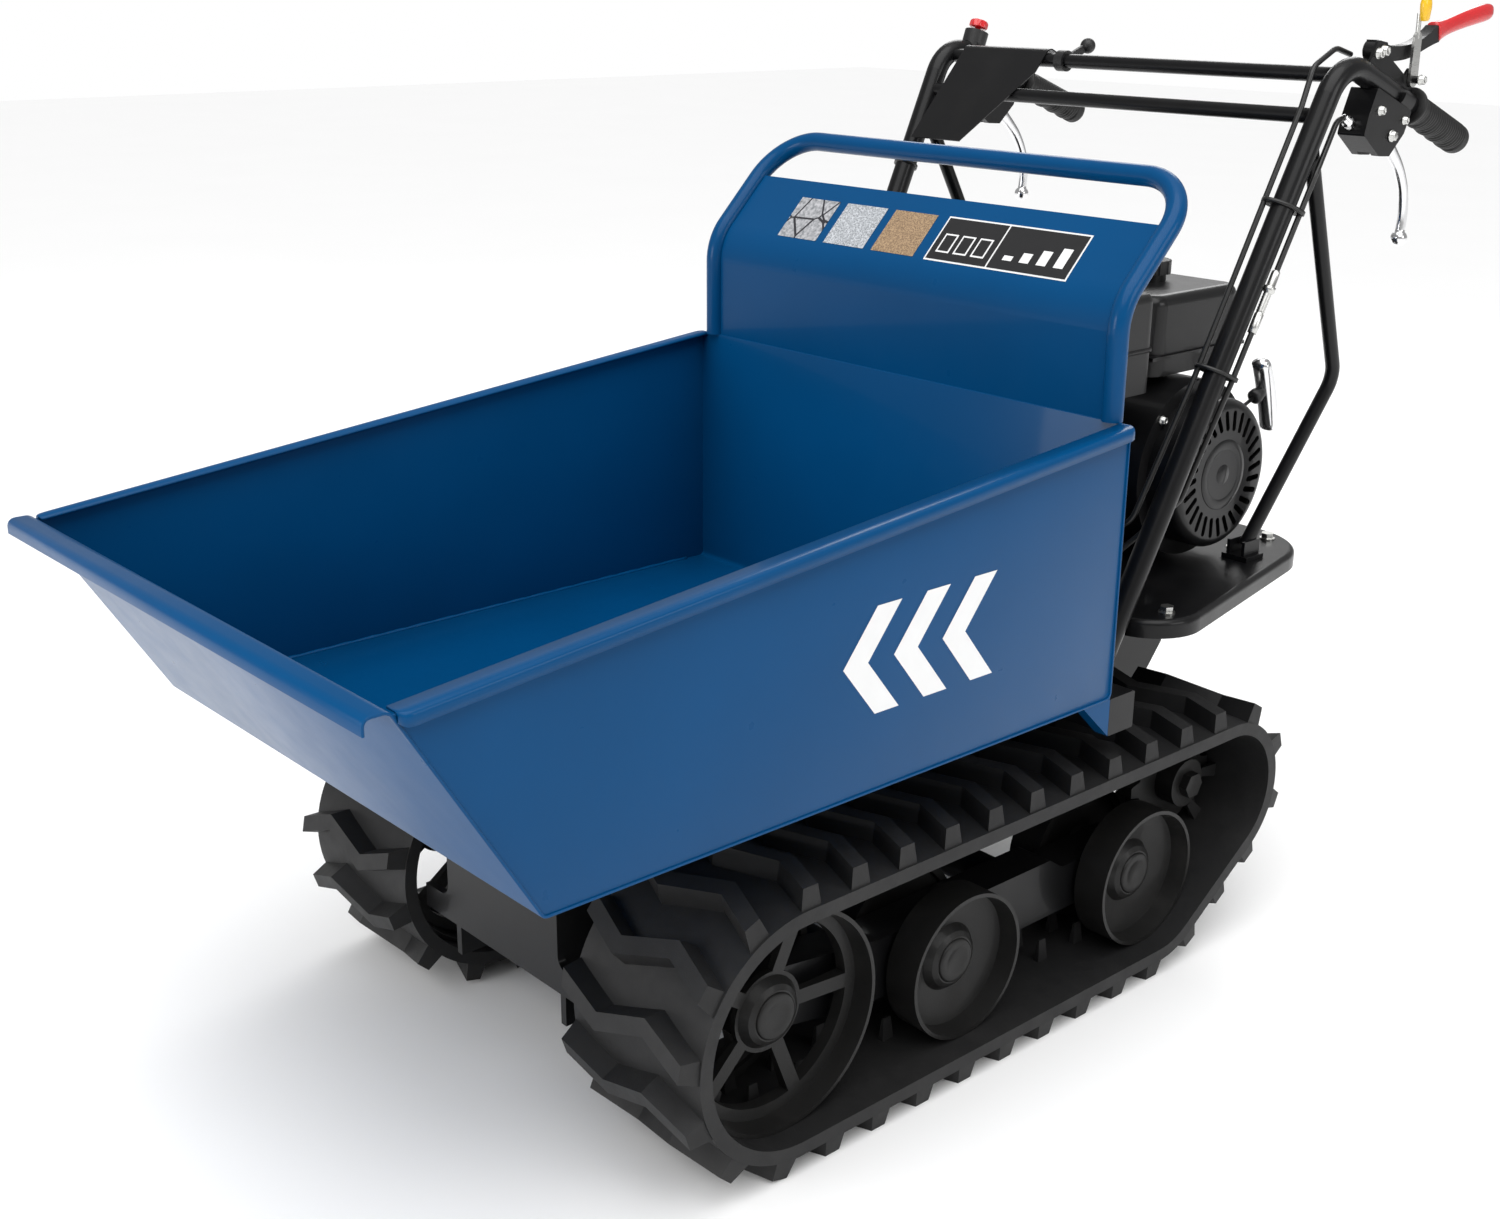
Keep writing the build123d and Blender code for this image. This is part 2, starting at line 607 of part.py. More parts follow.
# ---------------------------------------------------------------- engine deck
deck_outline = [(-deck_half_front, deck_front_y), (deck_half_front, deck_front_y),
                (deck_half_rear, deck_rear_y), (-deck_half_rear, deck_rear_y)]
belt_slot_y0, belt_slot_y1 = belt_back_y - 105, tension_y + tension_roller + 8
with BuildPart() as engine_deck:
    with BuildSketch(Plane.XY.offset(deck_under_z)) as deck_shape:
        Polygon(*deck_outline, align=None)
        fillet(deck_shape.vertices().sort_by(Axis.Y)[:2], deck_front_corner)
        fillet(deck_shape.vertices().sort_by(Axis.Y)[-2:], deck_rear_corner)
    extrude(amount=deck_depth)
    fillet(engine_deck.faces().sort_by(Axis.Z)[-1].edges(), deck_edge)
    with BuildSketch(Plane.XY.offset(deck_under_z)) as deck_hollow:
        Polygon(*deck_outline, align=None)
        fillet(deck_hollow.vertices().sort_by(Axis.Y)[:2], deck_front_corner)
        fillet(deck_hollow.vertices().sort_by(Axis.Y)[-2:], deck_rear_corner)
        offset(amount=-deck_sheet)
    extrude(amount=deck_depth - deck_sheet, mode=Mode.SUBTRACT)
    # slot for the belt
    with BuildSketch(Plane.XY.offset(deck_top_z)):
        with Locations((pulley_x, (belt_slot_y0 + belt_slot_y1) / 2)):
            Rectangle(pulley_width + 14, belt_slot_y1 - belt_slot_y0)
    extrude(amount=-deck_depth, mode=Mode.SUBTRACT)
    # ribs that rest on the rails
    with BuildSketch(Plane.XY.offset(deck_under_z)):
        for side in (1, -1):
            with Locations((side * rail_x, (deck_front_y + 10 + crank_y + 76) / 2)):
                Rectangle(rail_thickness, crank_y + 76 - deck_front_y - 10 - 2 * deck_sheet)
    extrude(amount=deck_depth - deck_sheet)
write(engine_deck, "engine_deck")

# ---------------------------------------------------------------- engine
block_x = (block_left_x + block_right_x) / 2
block_length = block_left_x - block_right_x
tilt = radians(cylinder_tilt)


def cylinder_point(reach):
    """A point on the cylinder's axis, from the crank towards the tub."""
    return (block_x, crank_y - reach * cos(tilt), crank_z + reach * sin(tilt))


def cylinder_plane(reach):
    """A plane across the cylinder's axis, facing the tub: its first axis is X."""
    return Plane(origin=cylinder_point(reach), x_dir=(1, 0, 0), z_dir=(0, -cos(tilt), sin(tilt)))


fin_count, fin_thickness = 7, 3.0
with BuildPart() as engine_block:
    with BuildSketch(Plane.XY.offset(deck_top_z)) as block_base:
        with Locations((block_x, crank_y)):
            Rectangle(block_length, 2 * block_half_y)
        fillet(block_base.vertices(), 14)
    extrude(amount=block_top_z - deck_top_z)
    fillet(engine_block.faces().sort_by(Axis.Z)[-1].edges(), 16)
    with BuildSketch(Plane.XY.offset(deck_top_z)):              # mounting flange
        with Locations((block_x, crank_y)):
            RectangleRounded(block_length + 6, 2 * block_half_y + 24, 12)
    extrude(amount=10)
    with BuildSketch(cylinder_plane(block_half_y - 20)):
        Circle(38)
    extrude(amount=cylinder_reach - block_half_y + 20)
    for i in range(fin_count):
        reach = block_half_y + 4 + i * (cylinder_reach - block_half_y - 8) / (fin_count - 1)
        with BuildSketch(cylinder_plane(reach)):
            RectangleRounded(cylinder_size, cylinder_size, 10)
        extrude(amount=fin_thickness)
    with Locations(along_x(block_x, crank_y, crank_z)):
        Cylinder(crank_radius + run_gap, block_length + 2, mode=Mode.SUBTRACT)
write(engine_block, "engine_block")

with BuildPart() as cylinder_head:
    with BuildSketch(cylinder_plane(cylinder_reach)):
        RectangleRounded(cylinder_size + 4, cylinder_size + 4, 10)
    extrude(amount=12)
    with BuildSketch(cylinder_plane(cylinder_reach + 12)):
        RectangleRounded(cylinder_size - 12, cylinder_size - 22, 14)
    extrude(amount=head_thickness - 12)
write(cylinder_head, "cylinder_head")

with BuildPart() as crankshaft:
    with Locations(along_x((blower_left_x - 30 + pulley_x - 12) / 2, crank_y, crank_z)):
        Cylinder(crank_radius, blower_left_x - 30 - pulley_x + 12)
    with Locations(along_x(blower_right_x + 32, crank_y, crank_z)):
        Cylinder(flywheel_radius, 12)
    with BuildSketch(side_plane(blower_right_x + 38)):
        with Locations((crank_y, crank_z)):
            with PolarLocations(flywheel_radius - 18, 16):
                Rectangle(26, 2.5, rotation=30)
    extrude(amount=18)
    with BuildSketch(axle_plane(pulley_x, crank_y, crank_z)):
        Polygon(*pulley_profile(engine_pulley_radius), align=None)
    revolve(axis=Axis((pulley_x, crank_y, crank_z), (1, 0, 0)))
write(crankshaft, "crankshaft")

with BuildPart() as blower_housing:
    with Locations(along_x((blower_right_x + blower_left_x) / 2, crank_y, crank_z)):
        Cylinder(blower_radius, blower_left_x - blower_right_x)
    with BuildSketch(side_plane(blower_right_x)):           # the duct that blows over the cylinder
        Polygon((crank_y, crank_z + blower_radius - 6), (crank_y - 104, crank_z + 30),
                (crank_y - 104, crank_z - 10), (crank_y - 40, crank_z - 30), align=None)
    extrude(amount=(blower_left_x - blower_right_x) * 0.55)
    with Locations(along_x((blower_right_x + blower_left_x) / 2, crank_y, crank_z)):
        Cylinder(blower_radius - blower_wall, blower_left_x - blower_right_x - 2 * blower_wall,
                 mode=Mode.SUBTRACT)
    with Locations(along_x(blower_left_x, crank_y, crank_z)):
        Cylinder(recoil_radius - 8, 20, mode=Mode.SUBTRACT)
    with Locations(along_x(blower_right_x, crank_y, crank_z)):
        Cylinder(crank_radius + 6, 20, mode=Mode.SUBTRACT)
write(blower_housing, "blower_housing")

slot_inner, slot_outer = 50.0, 74.0
recoil_depth = recoil_outer_x - blower_left_x
pull_angle = radians(20)          # the starter rope leaves to the rear and a little up
rope_x = blower_left_x + recoil_depth * 0.45
pull_plane = Plane(origin=(rope_x, crank_y + 8, crank_z + 46), x_dir=(1, 0, 0),
                   z_dir=(0, cos(pull_angle), sin(pull_angle)))
with BuildPart() as recoil_cover:
    with Locations(along_x(blower_left_x + recoil_depth / 2, crank_y, crank_z)):
        Cylinder(recoil_radius, recoil_depth)
    fillet(recoil_cover.faces().sort_by(Axis.X)[-1].edges(), 12)
    offset(amount=-blower_wall, openings=recoil_cover.faces().sort_by(Axis.X)[0])
    with BuildSketch(side_plane(recoil_outer_x)):
        with Locations((crank_y, crank_z)):
            with PolarLocations((slot_inner + slot_outer) / 2, recoil_slots):
                SlotOverall(slot_outer - slot_inner, 6.5, rotation=14)
    extrude(amount=-2 * blower_wall, mode=Mode.SUBTRACT)
    with BuildSketch(pull_plane):
        Circle(5)
    extrude(amount=110, mode=Mode.SUBTRACT)
write(recoil_cover, "recoil_cover")

# the pull handle, with the stretch of its rope that comes out
cover_exit = 78.0             # from the rope's plane origin to just outside the cover
rope_length = 130.0
with BuildPart() as recoil_handle:
    with BuildSketch(pull_plane.offset(cover_exit + 14 - rope_length)):
        Circle(2.2)
    extrude(amount=rope_length)
    with BuildSketch(pull_plane.offset(cover_exit)):
        Circle(9)
    extrude(amount=14)
    with BuildSketch(pull_plane.offset(cover_exit + 12)):
        with Locations((0, -8)):
            SlotOverall(96, 24, rotation=90)
    extrude(amount=20)
    fillet(recoil_handle.faces().sort_by(Axis((0, 0, 0), pull_plane.z_dir))[-1].edges(), 6)
write(recoil_handle, "recoil_handle")

with BuildPart() as fuel_tank:
    with BuildSketch(Plane.XY.offset(tank_bottom_z)):
        with Locations((0, (tank_front_y + tank_rear_y) / 2)):
            RectangleRounded(2 * tank_half_x, tank_rear_y - tank_front_y, 22)
    extrude(amount=tank_top_z - tank_bottom_z)
    fillet(fuel_tank.faces().sort_by(Axis.Z)[-1].edges(), 12)
    with Locations((0, (tank_front_y + tank_rear_y) / 2, tank_bottom_z + 22)):
        Box(2 * tank_half_x + 8, tank_rear_y - tank_front_y + 8, 4)
    # saddle down to the crankcase and the blower housing
    with BuildSketch(Plane.XY.offset(block_top_z)):
        with Locations((block_x, (tank_front_y + tank_rear_y) / 2 + 4)):
            Rectangle(block_length - 40, 70)
    extrude(amount=tank_bottom_z - block_top_z)
    with Locations((45, tank_rear_y - 70, tank_top_z + 4)):
        Cylinder(20, 8)
write(fuel_tank, "fuel_tank")

cap_z = tank_top_z + 8 + seat_gap
with BuildPart() as fuel_cap:
    with Locations((45, tank_rear_y - 70, cap_z + 8)):
        Cylinder(25, 16)
        with PolarLocations(26, 12):
            Cylinder(3, 16, mode=Mode.SUBTRACT)
    fillet(fuel_cap.faces().sort_by(Axis.Z)[-1].edges(), 1.2)
write(fuel_cap, "fuel_cap")

with BuildPart() as air_filter_box:
    with Locations(((filter_left_x + filter_right_x) / 2, (filter_front_y + filter_rear_y) / 2,
                    (filter_bottom_z + filter_top_z) / 2)):
        Box(filter_left_x - filter_right_x, filter_rear_y - filter_front_y, filter_top_z - filter_bottom_z)
    fillet(air_filter_box.edges().filter_by(Axis.Z), 16)
    fillet(air_filter_box.faces().sort_by(Axis.Z)[-1].edges(), 10)
write(air_filter_box, "air_filter_box")

carb_x, carb_y = 76.0, filter_front_y + 66
carb_top_z = filter_bottom_z
carb_bottom_z = crank_z + 46
with BuildPart() as carburettor:
    with Locations((carb_x, carb_y, (carb_top_z + carb_bottom_z + 24) / 2)):
        Box(34, 62, carb_top_z - carb_bottom_z - 24)
    with Locations((carb_x, carb_y, carb_bottom_z + 14)):
        Cylinder(19, 28)
    intake_x = block_x + cylinder_size / 2 + 2       # the side face of the cylinder head
    with Locations(along_x((intake_x + carb_x - 15) / 2, carb_y, carb_top_z - 22)):
        Cylinder(12, carb_x - 15 - intake_x)
write(carburettor, "carburettor")

choke_pivot_x = carb_x + 17
choke_pivot_y, choke_pivot_z = carb_y + 16, carb_top_z - 16
with BuildPart() as choke_lever:
    with Locations(along_x(choke_pivot_x + seat_gap + 3, choke_pivot_y, choke_pivot_z)):
        Cylinder(7, 6)
    with Locations((choke_pivot_x + seat_gap + 4.5, choke_pivot_y + 18, choke_pivot_z)):
        Box(3, 36, 8)
    with Locations(along_x(choke_pivot_x + seat_gap + 6, choke_pivot_y + 36, choke_pivot_z)):
        Cylinder(7, 8)
write(choke_lever, "choke_lever")

muffler_left_x, muffler_right_x = block_right_x + 4, block_right_x - 92
with BuildPart() as muffler:
    with BuildSketch(side_plane(muffler_right_x)):
        with Locations((filter_front_y + 66, crank_z + 84)):
            RectangleRounded(118, 92, 34)
    extrude(amount=muffler_left_x - muffler_right_x)
    exhaust_x = block_x - cylinder_size / 2 - 2      # the other side face of the head
    with Locations(along_x((muffler_left_x + exhaust_x) / 2, filter_front_y + 58, crank_z + 54)):
        Cylinder(13, exhaust_x - muffler_left_x)
write(muffler, "muffler")

guard_gap = 12.0
guard_x0, guard_x1 = pulley_x - pulley_width / 2 - 10, pulley_x + pulley_width / 2 + 6
with BuildPart() as belt_guard:
    for inset, mode, depth in ((0, Mode.ADD, guard_x1 - guard_x0), (2, Mode.SUBTRACT, guard_x1 - guard_x0 - 2)):
        with BuildSketch(side_plane(guard_x0 if mode == Mode.ADD else guard_x0 + 2)):
            with BuildSketch(mode=Mode.PRIVATE) as guard_outline:
                with Locations((gearbox_pulley_y, gearbox_pulley_z)):
                    Circle(gearbox_pulley_radius + guard_gap - inset)
                with Locations((crank_y, crank_z)):
                    Circle(engine_pulley_radius + guard_gap - inset)
                make_hull()
            add(guard_outline.sketch_local)
        extrude(amount=depth, mode=mode)
    with Locations((pulley_x, crank_y, deck_top_z - 250)):
        Box(60, 500, 500, mode=Mode.SUBTRACT)
write(belt_guard, "belt_guard")

# ---------------------------------------------------------------- handlebars
handle_points = [(handle_foot_x, handle_foot_y, handle_foot_z), (handle_knee_x, handle_knee_y, handle_knee_z),
                 (handle_tip_x, handle_tip_y, handle_tip_z)]
handle_tube = bent_tube(handle_points, handle_radius, handle_bend)
with BuildPart() as handlebars:
    add(handle_tube)
    add(mirror(handle_tube, about=Plane.YZ))
write(handlebars, "handlebars")

grip_run = hypot(handle_tip_y - handle_knee_y, handle_tip_z - handle_knee_z)
grip_fall = atan2(handle_knee_z - handle_tip_z, handle_tip_y - handle_knee_y)


def handle_plane(x, along=0.0, above=0.0):
    """A plane facing +X beside the handlebar's rear run, its first axis along the grip."""
    y = handle_knee_y + along * cos(grip_fall) + above * sin(grip_fall)
    z = handle_knee_z - along * sin(grip_fall) + above * cos(grip_fall)
    return Plane(origin=(x, y, z), x_dir=(0, cos(grip_fall), -sin(grip_fall)), z_dir=(1, 0, 0))


def grip_plane(side, along):
    """A plane across the rear run, facing the grip's end."""
    share = along / grip_run
    x = side * (handle_knee_x + (handle_tip_x - handle_knee_x) * share)
    direction = Vector(side * (handle_tip_x - handle_knee_x), handle_tip_y - handle_knee_y,
                       handle_tip_z - handle_knee_z).normalized()
    return Plane(origin=(x, handle_knee_y + along * cos(grip_fall), handle_knee_z - along * sin(grip_fall)),
                 x_dir=(1, 0, 0), z_dir=direction)


with BuildPart() as hand_grips:
    for side in (1, -1):
        with BuildSketch(grip_plane(side, grip_run - grip_length + 5)):
            Circle(grip_radius)
            Circle(handle_radius, mode=Mode.SUBTRACT)
        extrude(amount=grip_length)
        with BuildSketch(grip_plane(side, grip_run)):
            Circle(grip_radius)
        extrude(amount=5)
        with BuildSketch(grip_plane(side, grip_run - grip_length)):
            Circle(grip_radius + 4)
            Circle(handle_radius, mode=Mode.SUBTRACT)
        extrude(amount=5)
write(hand_grips, "hand_grips")


def handle_x(z):
    """The handlebar's middle at a height on its long front run."""
    share = (z - handle_foot_z) / (handle_knee_z - handle_foot_z)
    return handle_foot_x + (handle_knee_x - handle_foot_x) * share


with BuildPart() as handle_crossbars:
    for bar_y, bar_z in ((upper_bar_y, upper_bar_z), (lower_bar_y, lower_bar_z)):
        with Locations(along_x(0, bar_y, bar_z)):
            Cylinder(crossbar_radius, 2 * handle_x(bar_z) - handle_radius)
    add(handlebars.part, mode=Mode.SUBTRACT)
    for solid in handle_crossbars.solids().sort_by(SortBy.VOLUME)[:-2]:
        add(solid, mode=Mode.SUBTRACT)
write(handle_crossbars, "handle_crossbars")

brace_top_z = 872.0
brace_top = (handle_x(brace_top_z) - 1, rear_y + 331, brace_top_z)
brace_knee = (250.0, rear_y + 462, 611.0)
brace_foot = (206.0, rear_y + 384, deck_top_z + 14)
brace_bar = bent_tube([brace_top, brace_knee, brace_foot], brace_radius, brace_bend)
with BuildPart() as handle_braces:
    add(brace_bar)
    add(mirror(brace_bar, about=Plane.YZ))
    add(handlebars.part, mode=Mode.SUBTRACT)
    for solid in handle_braces.solids().sort_by(SortBy.VOLUME)[:-2]:
        add(solid, mode=Mode.SUBTRACT)
write(handle_braces, "handle_braces")

bracket_half = 17.0
with BuildPart() as brace_brackets:
    for side in (1, -1):
        with Locations((side * brace_foot[0], brace_foot[1] - 3, deck_top_z + 3)):
            Box(2 * bracket_half, 2 * bracket_half, 6)
        with Locations((side * (brace_foot[0] - 10), brace_foot[1] - 3, deck_top_z + 14)):
            Box(4, 30, 18)
        with Locations((side * (brace_foot[0] + 10), brace_foot[1] - 3, deck_top_z + 14)):
            Box(4, 30, 18)
    add(handle_braces.part, mode=Mode.SUBTRACT)
write(brace_brackets, "brace_brackets")

bolt_places = [(side * x, y) for side in (1, -1) for x, y in
               ((deck_half_front - 42, deck_front_y + 48), (brace_foot[0] - 30, brace_foot[1] + 24),
                (deck_half_rear - 40, deck_rear_y - 34))]
bolt_places += [(block_left_x - 14, crank_y - block_half_y - 40),
                (block_right_x + 14, crank_y + block_half_y + 28)]
with BuildPart() as deck_bolts:
    with BuildSketch(Plane.XY.offset(deck_top_z)):
        with Locations(*bolt_places):
            Circle(9)
    extrude(amount=1.6)
    with BuildSketch(Plane.XY.offset(deck_top_z + 1.6)):
        with Locations(*bolt_places):
            RegularPolygon(7.5, 6)
    extrude(amount=6)
write(deck_bolts, "deck_bolts")
print("engine and handlebars written")

# ---------------------------------------------------------------- hand controls
lever_x = handle_knee_x - 1
lever_slot = 15.0
clamp_width = 32.0
clamp_outline = [(58, 2 - handle_radius), (56, -42), (58, -62), (98, -72), (118, -66), (134, -36),
                 (136, 2 - handle_radius)]
lever_pivot_along, lever_pivot_above = 110.0, -46.0
with BuildPart() as lever_clamps:
    for side in (1, -1):
        with BuildSketch(handle_plane(side * lever_x - clamp_width / 2)) as clamp_shape:
            Polygon(*clamp_outline, align=None)
            fillet(clamp_shape.vertices(), 3)
        extrude(amount=clamp_width)
        with BuildSketch(grip_plane(side, 112)):
            Circle(handle_radius + 5)
        extrude(amount=24)
        with BuildSketch(grip_plane(side, 20)):
            Circle(handle_radius)
        extrude(amount=140, mode=Mode.SUBTRACT)
        with BuildSketch(handle_plane(side * lever_x - clamp_width)):      # open on top of the tube
            Polygon((100, 2), (150, 2), (150, 30), (100, 30), align=None)
        extrude(amount=2 * clamp_width, mode=Mode.SUBTRACT)
        with BuildSketch(handle_plane(side * lever_x - lever_slot / 2)):
            Polygon((92, -24), (92, -90), (150, -90), (150, -24), align=None)
        extrude(amount=lever_slot, mode=Mode.SUBTRACT)
    for side in (1, -1):                     # pivot pins across the slot
        with BuildSketch(handle_plane(side * lever_x - clamp_width / 2)):
            with Locations((lever_pivot_along, lever_pivot_above)):
                Circle(3.5)
        extrude(amount=clamp_width)
write(lever_clamps, "lever_clamps")

for side, side_name in ((1, "left"), (-1, "right")):
    lever_half = lever_slot / 2 - side_gap
    with BuildPart() as steering_lever:
        with BuildSketch(handle_plane(side * lever_x - lever_half)):
            with BuildLine():
                Spline((112, -38), (132, -43), (160, -55), (190, -74), (209, -100), (220, -128))
                Line((220, -128), (210, -132))
                Spline((210, -132), (200, -110), (182, -88), (156, -74), (126, -62), (108, -54))
                Line((108, -54), (112, -38))
            make_face()
            with Locations((lever_pivot_along, lever_pivot_above)):
                Circle(9.5)
            with Locations((215, -132)):
                Circle(9)
            with Locations((lever_pivot_along, lever_pivot_above)):
                Circle(3.5 + run_gap, mode=Mode.SUBTRACT)
        extrude(amount=2 * lever_half)
    write(steering_lever, f"steering_lever_{side_name}")

drive_pivot = (67.0, 31.0)
drive_arm_x = handle_knee_x - 9
arm_half = 7.0
latch_pin = (138.0, 24.0)
saddle_end = 148.0
bracket_sheet = 3.0
cheek_x = drive_arm_x + arm_half + side_gap
with BuildPart() as drive_bracket:
    with BuildSketch(handle_plane(drive_arm_x - arm_half - 4)):          # saddle on top of the tube
        Polygon((50, handle_radius), (saddle_end, handle_radius), (saddle_end, handle_radius + 3),
                (50, handle_radius + 3), align=None)
    extrude(amount=cheek_x + bracket_sheet - drive_arm_x + arm_half + 4)
    with BuildSketch(handle_plane(cheek_x)) as cheek:                    # cheek that carries both pins
        Polygon((50, handle_radius), (54, 38), (72, 42), (88, 30), (124, 24), (129, 34), (saddle_end - 2, 32),
                (saddle_end, handle_radius), align=None)
        fillet(cheek.vertices().filter_by_position(Axis.Y, 25, 60), 3)
    extrude(amount=bracket_sheet)
    pivot_x = drive_arm_x - arm_half - 4
    for pin_at, x0, pin_length in ((drive_pivot, pivot_x, cheek_x - pivot_x + 4), (latch_pin, cheek_x, 14)):
        with BuildSketch(handle_plane(x0)):
            with Locations(pin_at):
                Circle(4)
        extrude(amount=pin_length)
    with BuildSketch(grip_plane(1, 44)):                                 # clear of the tube it sits on
        Circle(handle_radius)
    extrude(amount=140, mode=Mode.SUBTRACT)
write(drive_bracket, "drive_bracket")

lever_tip = (281.6, 151.5)
grip_root = (168.0, 83.0)
with BuildPart() as drive_lever:
    with BuildSketch(handle_plane(drive_arm_x - arm_half)):
        with BuildLine():
            Spline((drive_pivot[0] - 8, drive_pivot[1] + 9), (96, 46), (122, 57), (144, 71),
                   (grip_root[0] - 3, grip_root[1] + 10))
            Polyline((grip_root[0] - 3, grip_root[1] + 10), (grip_root[0] + 10, grip_root[1] + 10),
                     (grip_root[0] + 10, grip_root[1] - 4))
            Spline((grip_root[0] + 10, grip_root[1] - 4), (152, 61), (128, 44), (100, 31),
                   (drive_pivot[0] + 4, drive_pivot[1] - 10))
            Line((drive_pivot[0] + 4, drive_pivot[1] - 10), (drive_pivot[0] - 8, drive_pivot[1] + 9))
        make_face()
        with Locations(drive_pivot):
            Circle(10.5)
            Circle(4 + run_gap, mode=Mode.SUBTRACT)
    extrude(amount=2 * arm_half)
    with BuildSketch(handle_plane(drive_arm_x - 2.5)):                   # tongue inside the grip
        Polygon((grip_root[0], grip_root[1] - 4), (lever_tip[0] - 14, lever_tip[1] - 14),
                (lever_tip[0] - 18, lever_tip[1] - 4), (grip_root[0] - 5, grip_root[1] + 6), align=None)
    extrude(amount=5)
write(drive_lever, "drive_lever")

grip_slope = atan2(lever_tip[1] - grip_root[1], lever_tip[0] - grip_root[0])
root_point = handle_plane(drive_arm_x, grip_root[0] + 4, grip_root[1] + 4).origin
tip_point = handle_plane(drive_arm_x, *lever_tip).origin
lever_direction = (tip_point - root_point).normalized()
with BuildPart() as drive_lever_grip:
    with BuildSketch(Plane(origin=root_point + lever_direction * 10, x_dir=(1, 0, 0), z_dir=lever_direction)):
        RectangleRounded(18, 24, 8)
    extrude(amount=(tip_point - root_point).length - 10)
    fillet(drive_lever_grip.faces().sort_by(Axis((0, 0, 0), lever_direction))[-1].edges(), 5)
    with BuildSketch(handle_plane(drive_arm_x - 2.5)):
        Polygon((grip_root[0], grip_root[1] - 4), (lever_tip[0] - 14, lever_tip[1] - 14),
                (lever_tip[0] - 18, lever_tip[1] - 4), (grip_root[0] - 5, grip_root[1] + 6), align=None)
    extrude(amount=5, mode=Mode.SUBTRACT)
write(drive_lever_grip, "drive_lever_grip")

latch_x = cheek_x + bracket_sheet + side_gap
latch_top = (113.0, 88.0)
latch_joint = (123.0, 64.0)
with BuildPart() as lock_latch:
    with BuildSketch(handle_plane(latch_x)) as latch_shape:
        with BuildSketch(mode=Mode.PRIVATE) as latch_outline:
            with Locations(latch_pin):
                Circle(8)
            with Locations(latch_joint):
                Circle(7)
            make_hull()
        add(latch_outline.sketch_local)
        with Locations(latch_pin):
            Circle(4 + run_gap, mode=Mode.SUBTRACT)
    extrude(amount=3)
    stem_root = handle_plane(latch_x + 1.5, *latch_joint).origin
    stem_end = handle_plane(latch_x + 1.5, *latch_top).origin
    with BuildSketch(Plane(origin=stem_root, z_dir=stem_end - stem_root)):
        Circle(2.5)
    extrude(amount=(stem_end - stem_root).length)
write(lock_latch, "lock_latch")

with BuildPart() as latch_knob:
    knob_direction = (stem_end - stem_root).normalized()
    with BuildSketch(Plane(origin=stem_end - knob_direction * 8, x_dir=(1, 0, 0), z_dir=knob_direction)):
        RectangleRounded(10, 16, 4.5)
    extrude(amount=26)
    fillet(latch_knob.faces().sort_by(Axis((0, 0, 0), knob_direction))[-1].edges(), 3)
    with BuildSketch(Plane(origin=stem_end - knob_direction * 9, z_dir=knob_direction)):
        Circle(2.5)
    extrude(amount=9, mode=Mode.SUBTRACT)
write(latch_knob, "latch_knob")

# control cover, a sheet folded over the two crossbars beside the right handlebar
cover_sheet = 1.5
bar_run = hypot(upper_bar_y - lower_bar_y, upper_bar_z - lower_bar_z)
down_y, down_z = (lower_bar_y - upper_bar_y) / bar_run, (lower_bar_z - upper_bar_z) / bar_run
cover_lift = crossbar_radius + cover_sheet / 2 + seat_gap
cover_left_x, cover_right_x = -118.0, -(handle_x(upper_bar_z) - handle_radius - 15)
front_y, front_z = upper_bar_y + down_z * cover_lift, upper_bar_z - down_y * cover_lift
with BuildPart() as control_cover:
    with BuildSketch(side_plane(cover_right_x)):
        with BuildLine():
            FilletPolyline((upper_bar_y + 26, upper_bar_z + 3), (front_y - down_y * 11, front_z - down_z * 11),
                           (front_y + down_y * 132, front_z + down_z * 132), radius=10)
        trace(line_width=cover_sheet)
    extrude(amount=cover_left_x - cover_right_x)
    # the inner edge slants towards the handlebar
    with BuildSketch(Plane.XZ.offset(-upper_bar_y - 60)):
        Polygon((cover_left_x + 5, upper_bar_z - 6), (cover_left_x + 5, upper_bar_z - 200),
                (cover_right_x + 60, upper_bar_z - 200), (cover_left_x - 52, upper_bar_z - 92), align=None)
    extrude(amount=300, mode=Mode.SUBTRACT)
write(control_cover, "control_cover")

switch_along = 48.0
switch_width = 16.0
with BuildPart() as switch_clamp:
    with BuildSketch(grip_plane(-1, switch_along - switch_width / 2)):
        Circle(handle_radius + 6)
    extrude(amount=switch_width)
    with BuildSketch(Plane(origin=grip_plane(-1, switch_along).origin, x_dir=(1, 0, 0),
                           z_dir=handle_plane(0).y_dir)):
        Circle(15)
    extrude(amount=handle_radius + 16)
    with BuildSketch(Plane(origin=grip_plane(-1, switch_along).origin, x_dir=(1, 0, 0),
                           z_dir=handle_plane(0).y_dir)):
        Circle(4 + run_gap)
    extrude(amount=handle_radius + 20, mode=Mode.SUBTRACT)
    with BuildSketch(grip_plane(-1, 30)):
        Circle(handle_radius)
    extrude(amount=60, mode=Mode.SUBTRACT)
write(switch_clamp, "switch_clamp")

switch_travel = 4.0
switch_top = Plane(origin=grip_plane(-1, switch_along).origin, x_dir=(1, 0, 0),
                   z_dir=handle_plane(0).y_dir).offset(handle_radius + 16)
with BuildPart() as switch_knob:
    with BuildSketch(switch_top.offset(-10)):
        Circle(4)
    extrude(amount=10 + switch_travel + 0.5)
    with BuildSketch(switch_top.offset(switch_travel + 0.5)):
        Circle(12)
        with PolarLocations(12.5, 8):
            Circle(2, mode=Mode.SUBTRACT)
    extrude(amount=10)
write(switch_knob, "switch_knob")

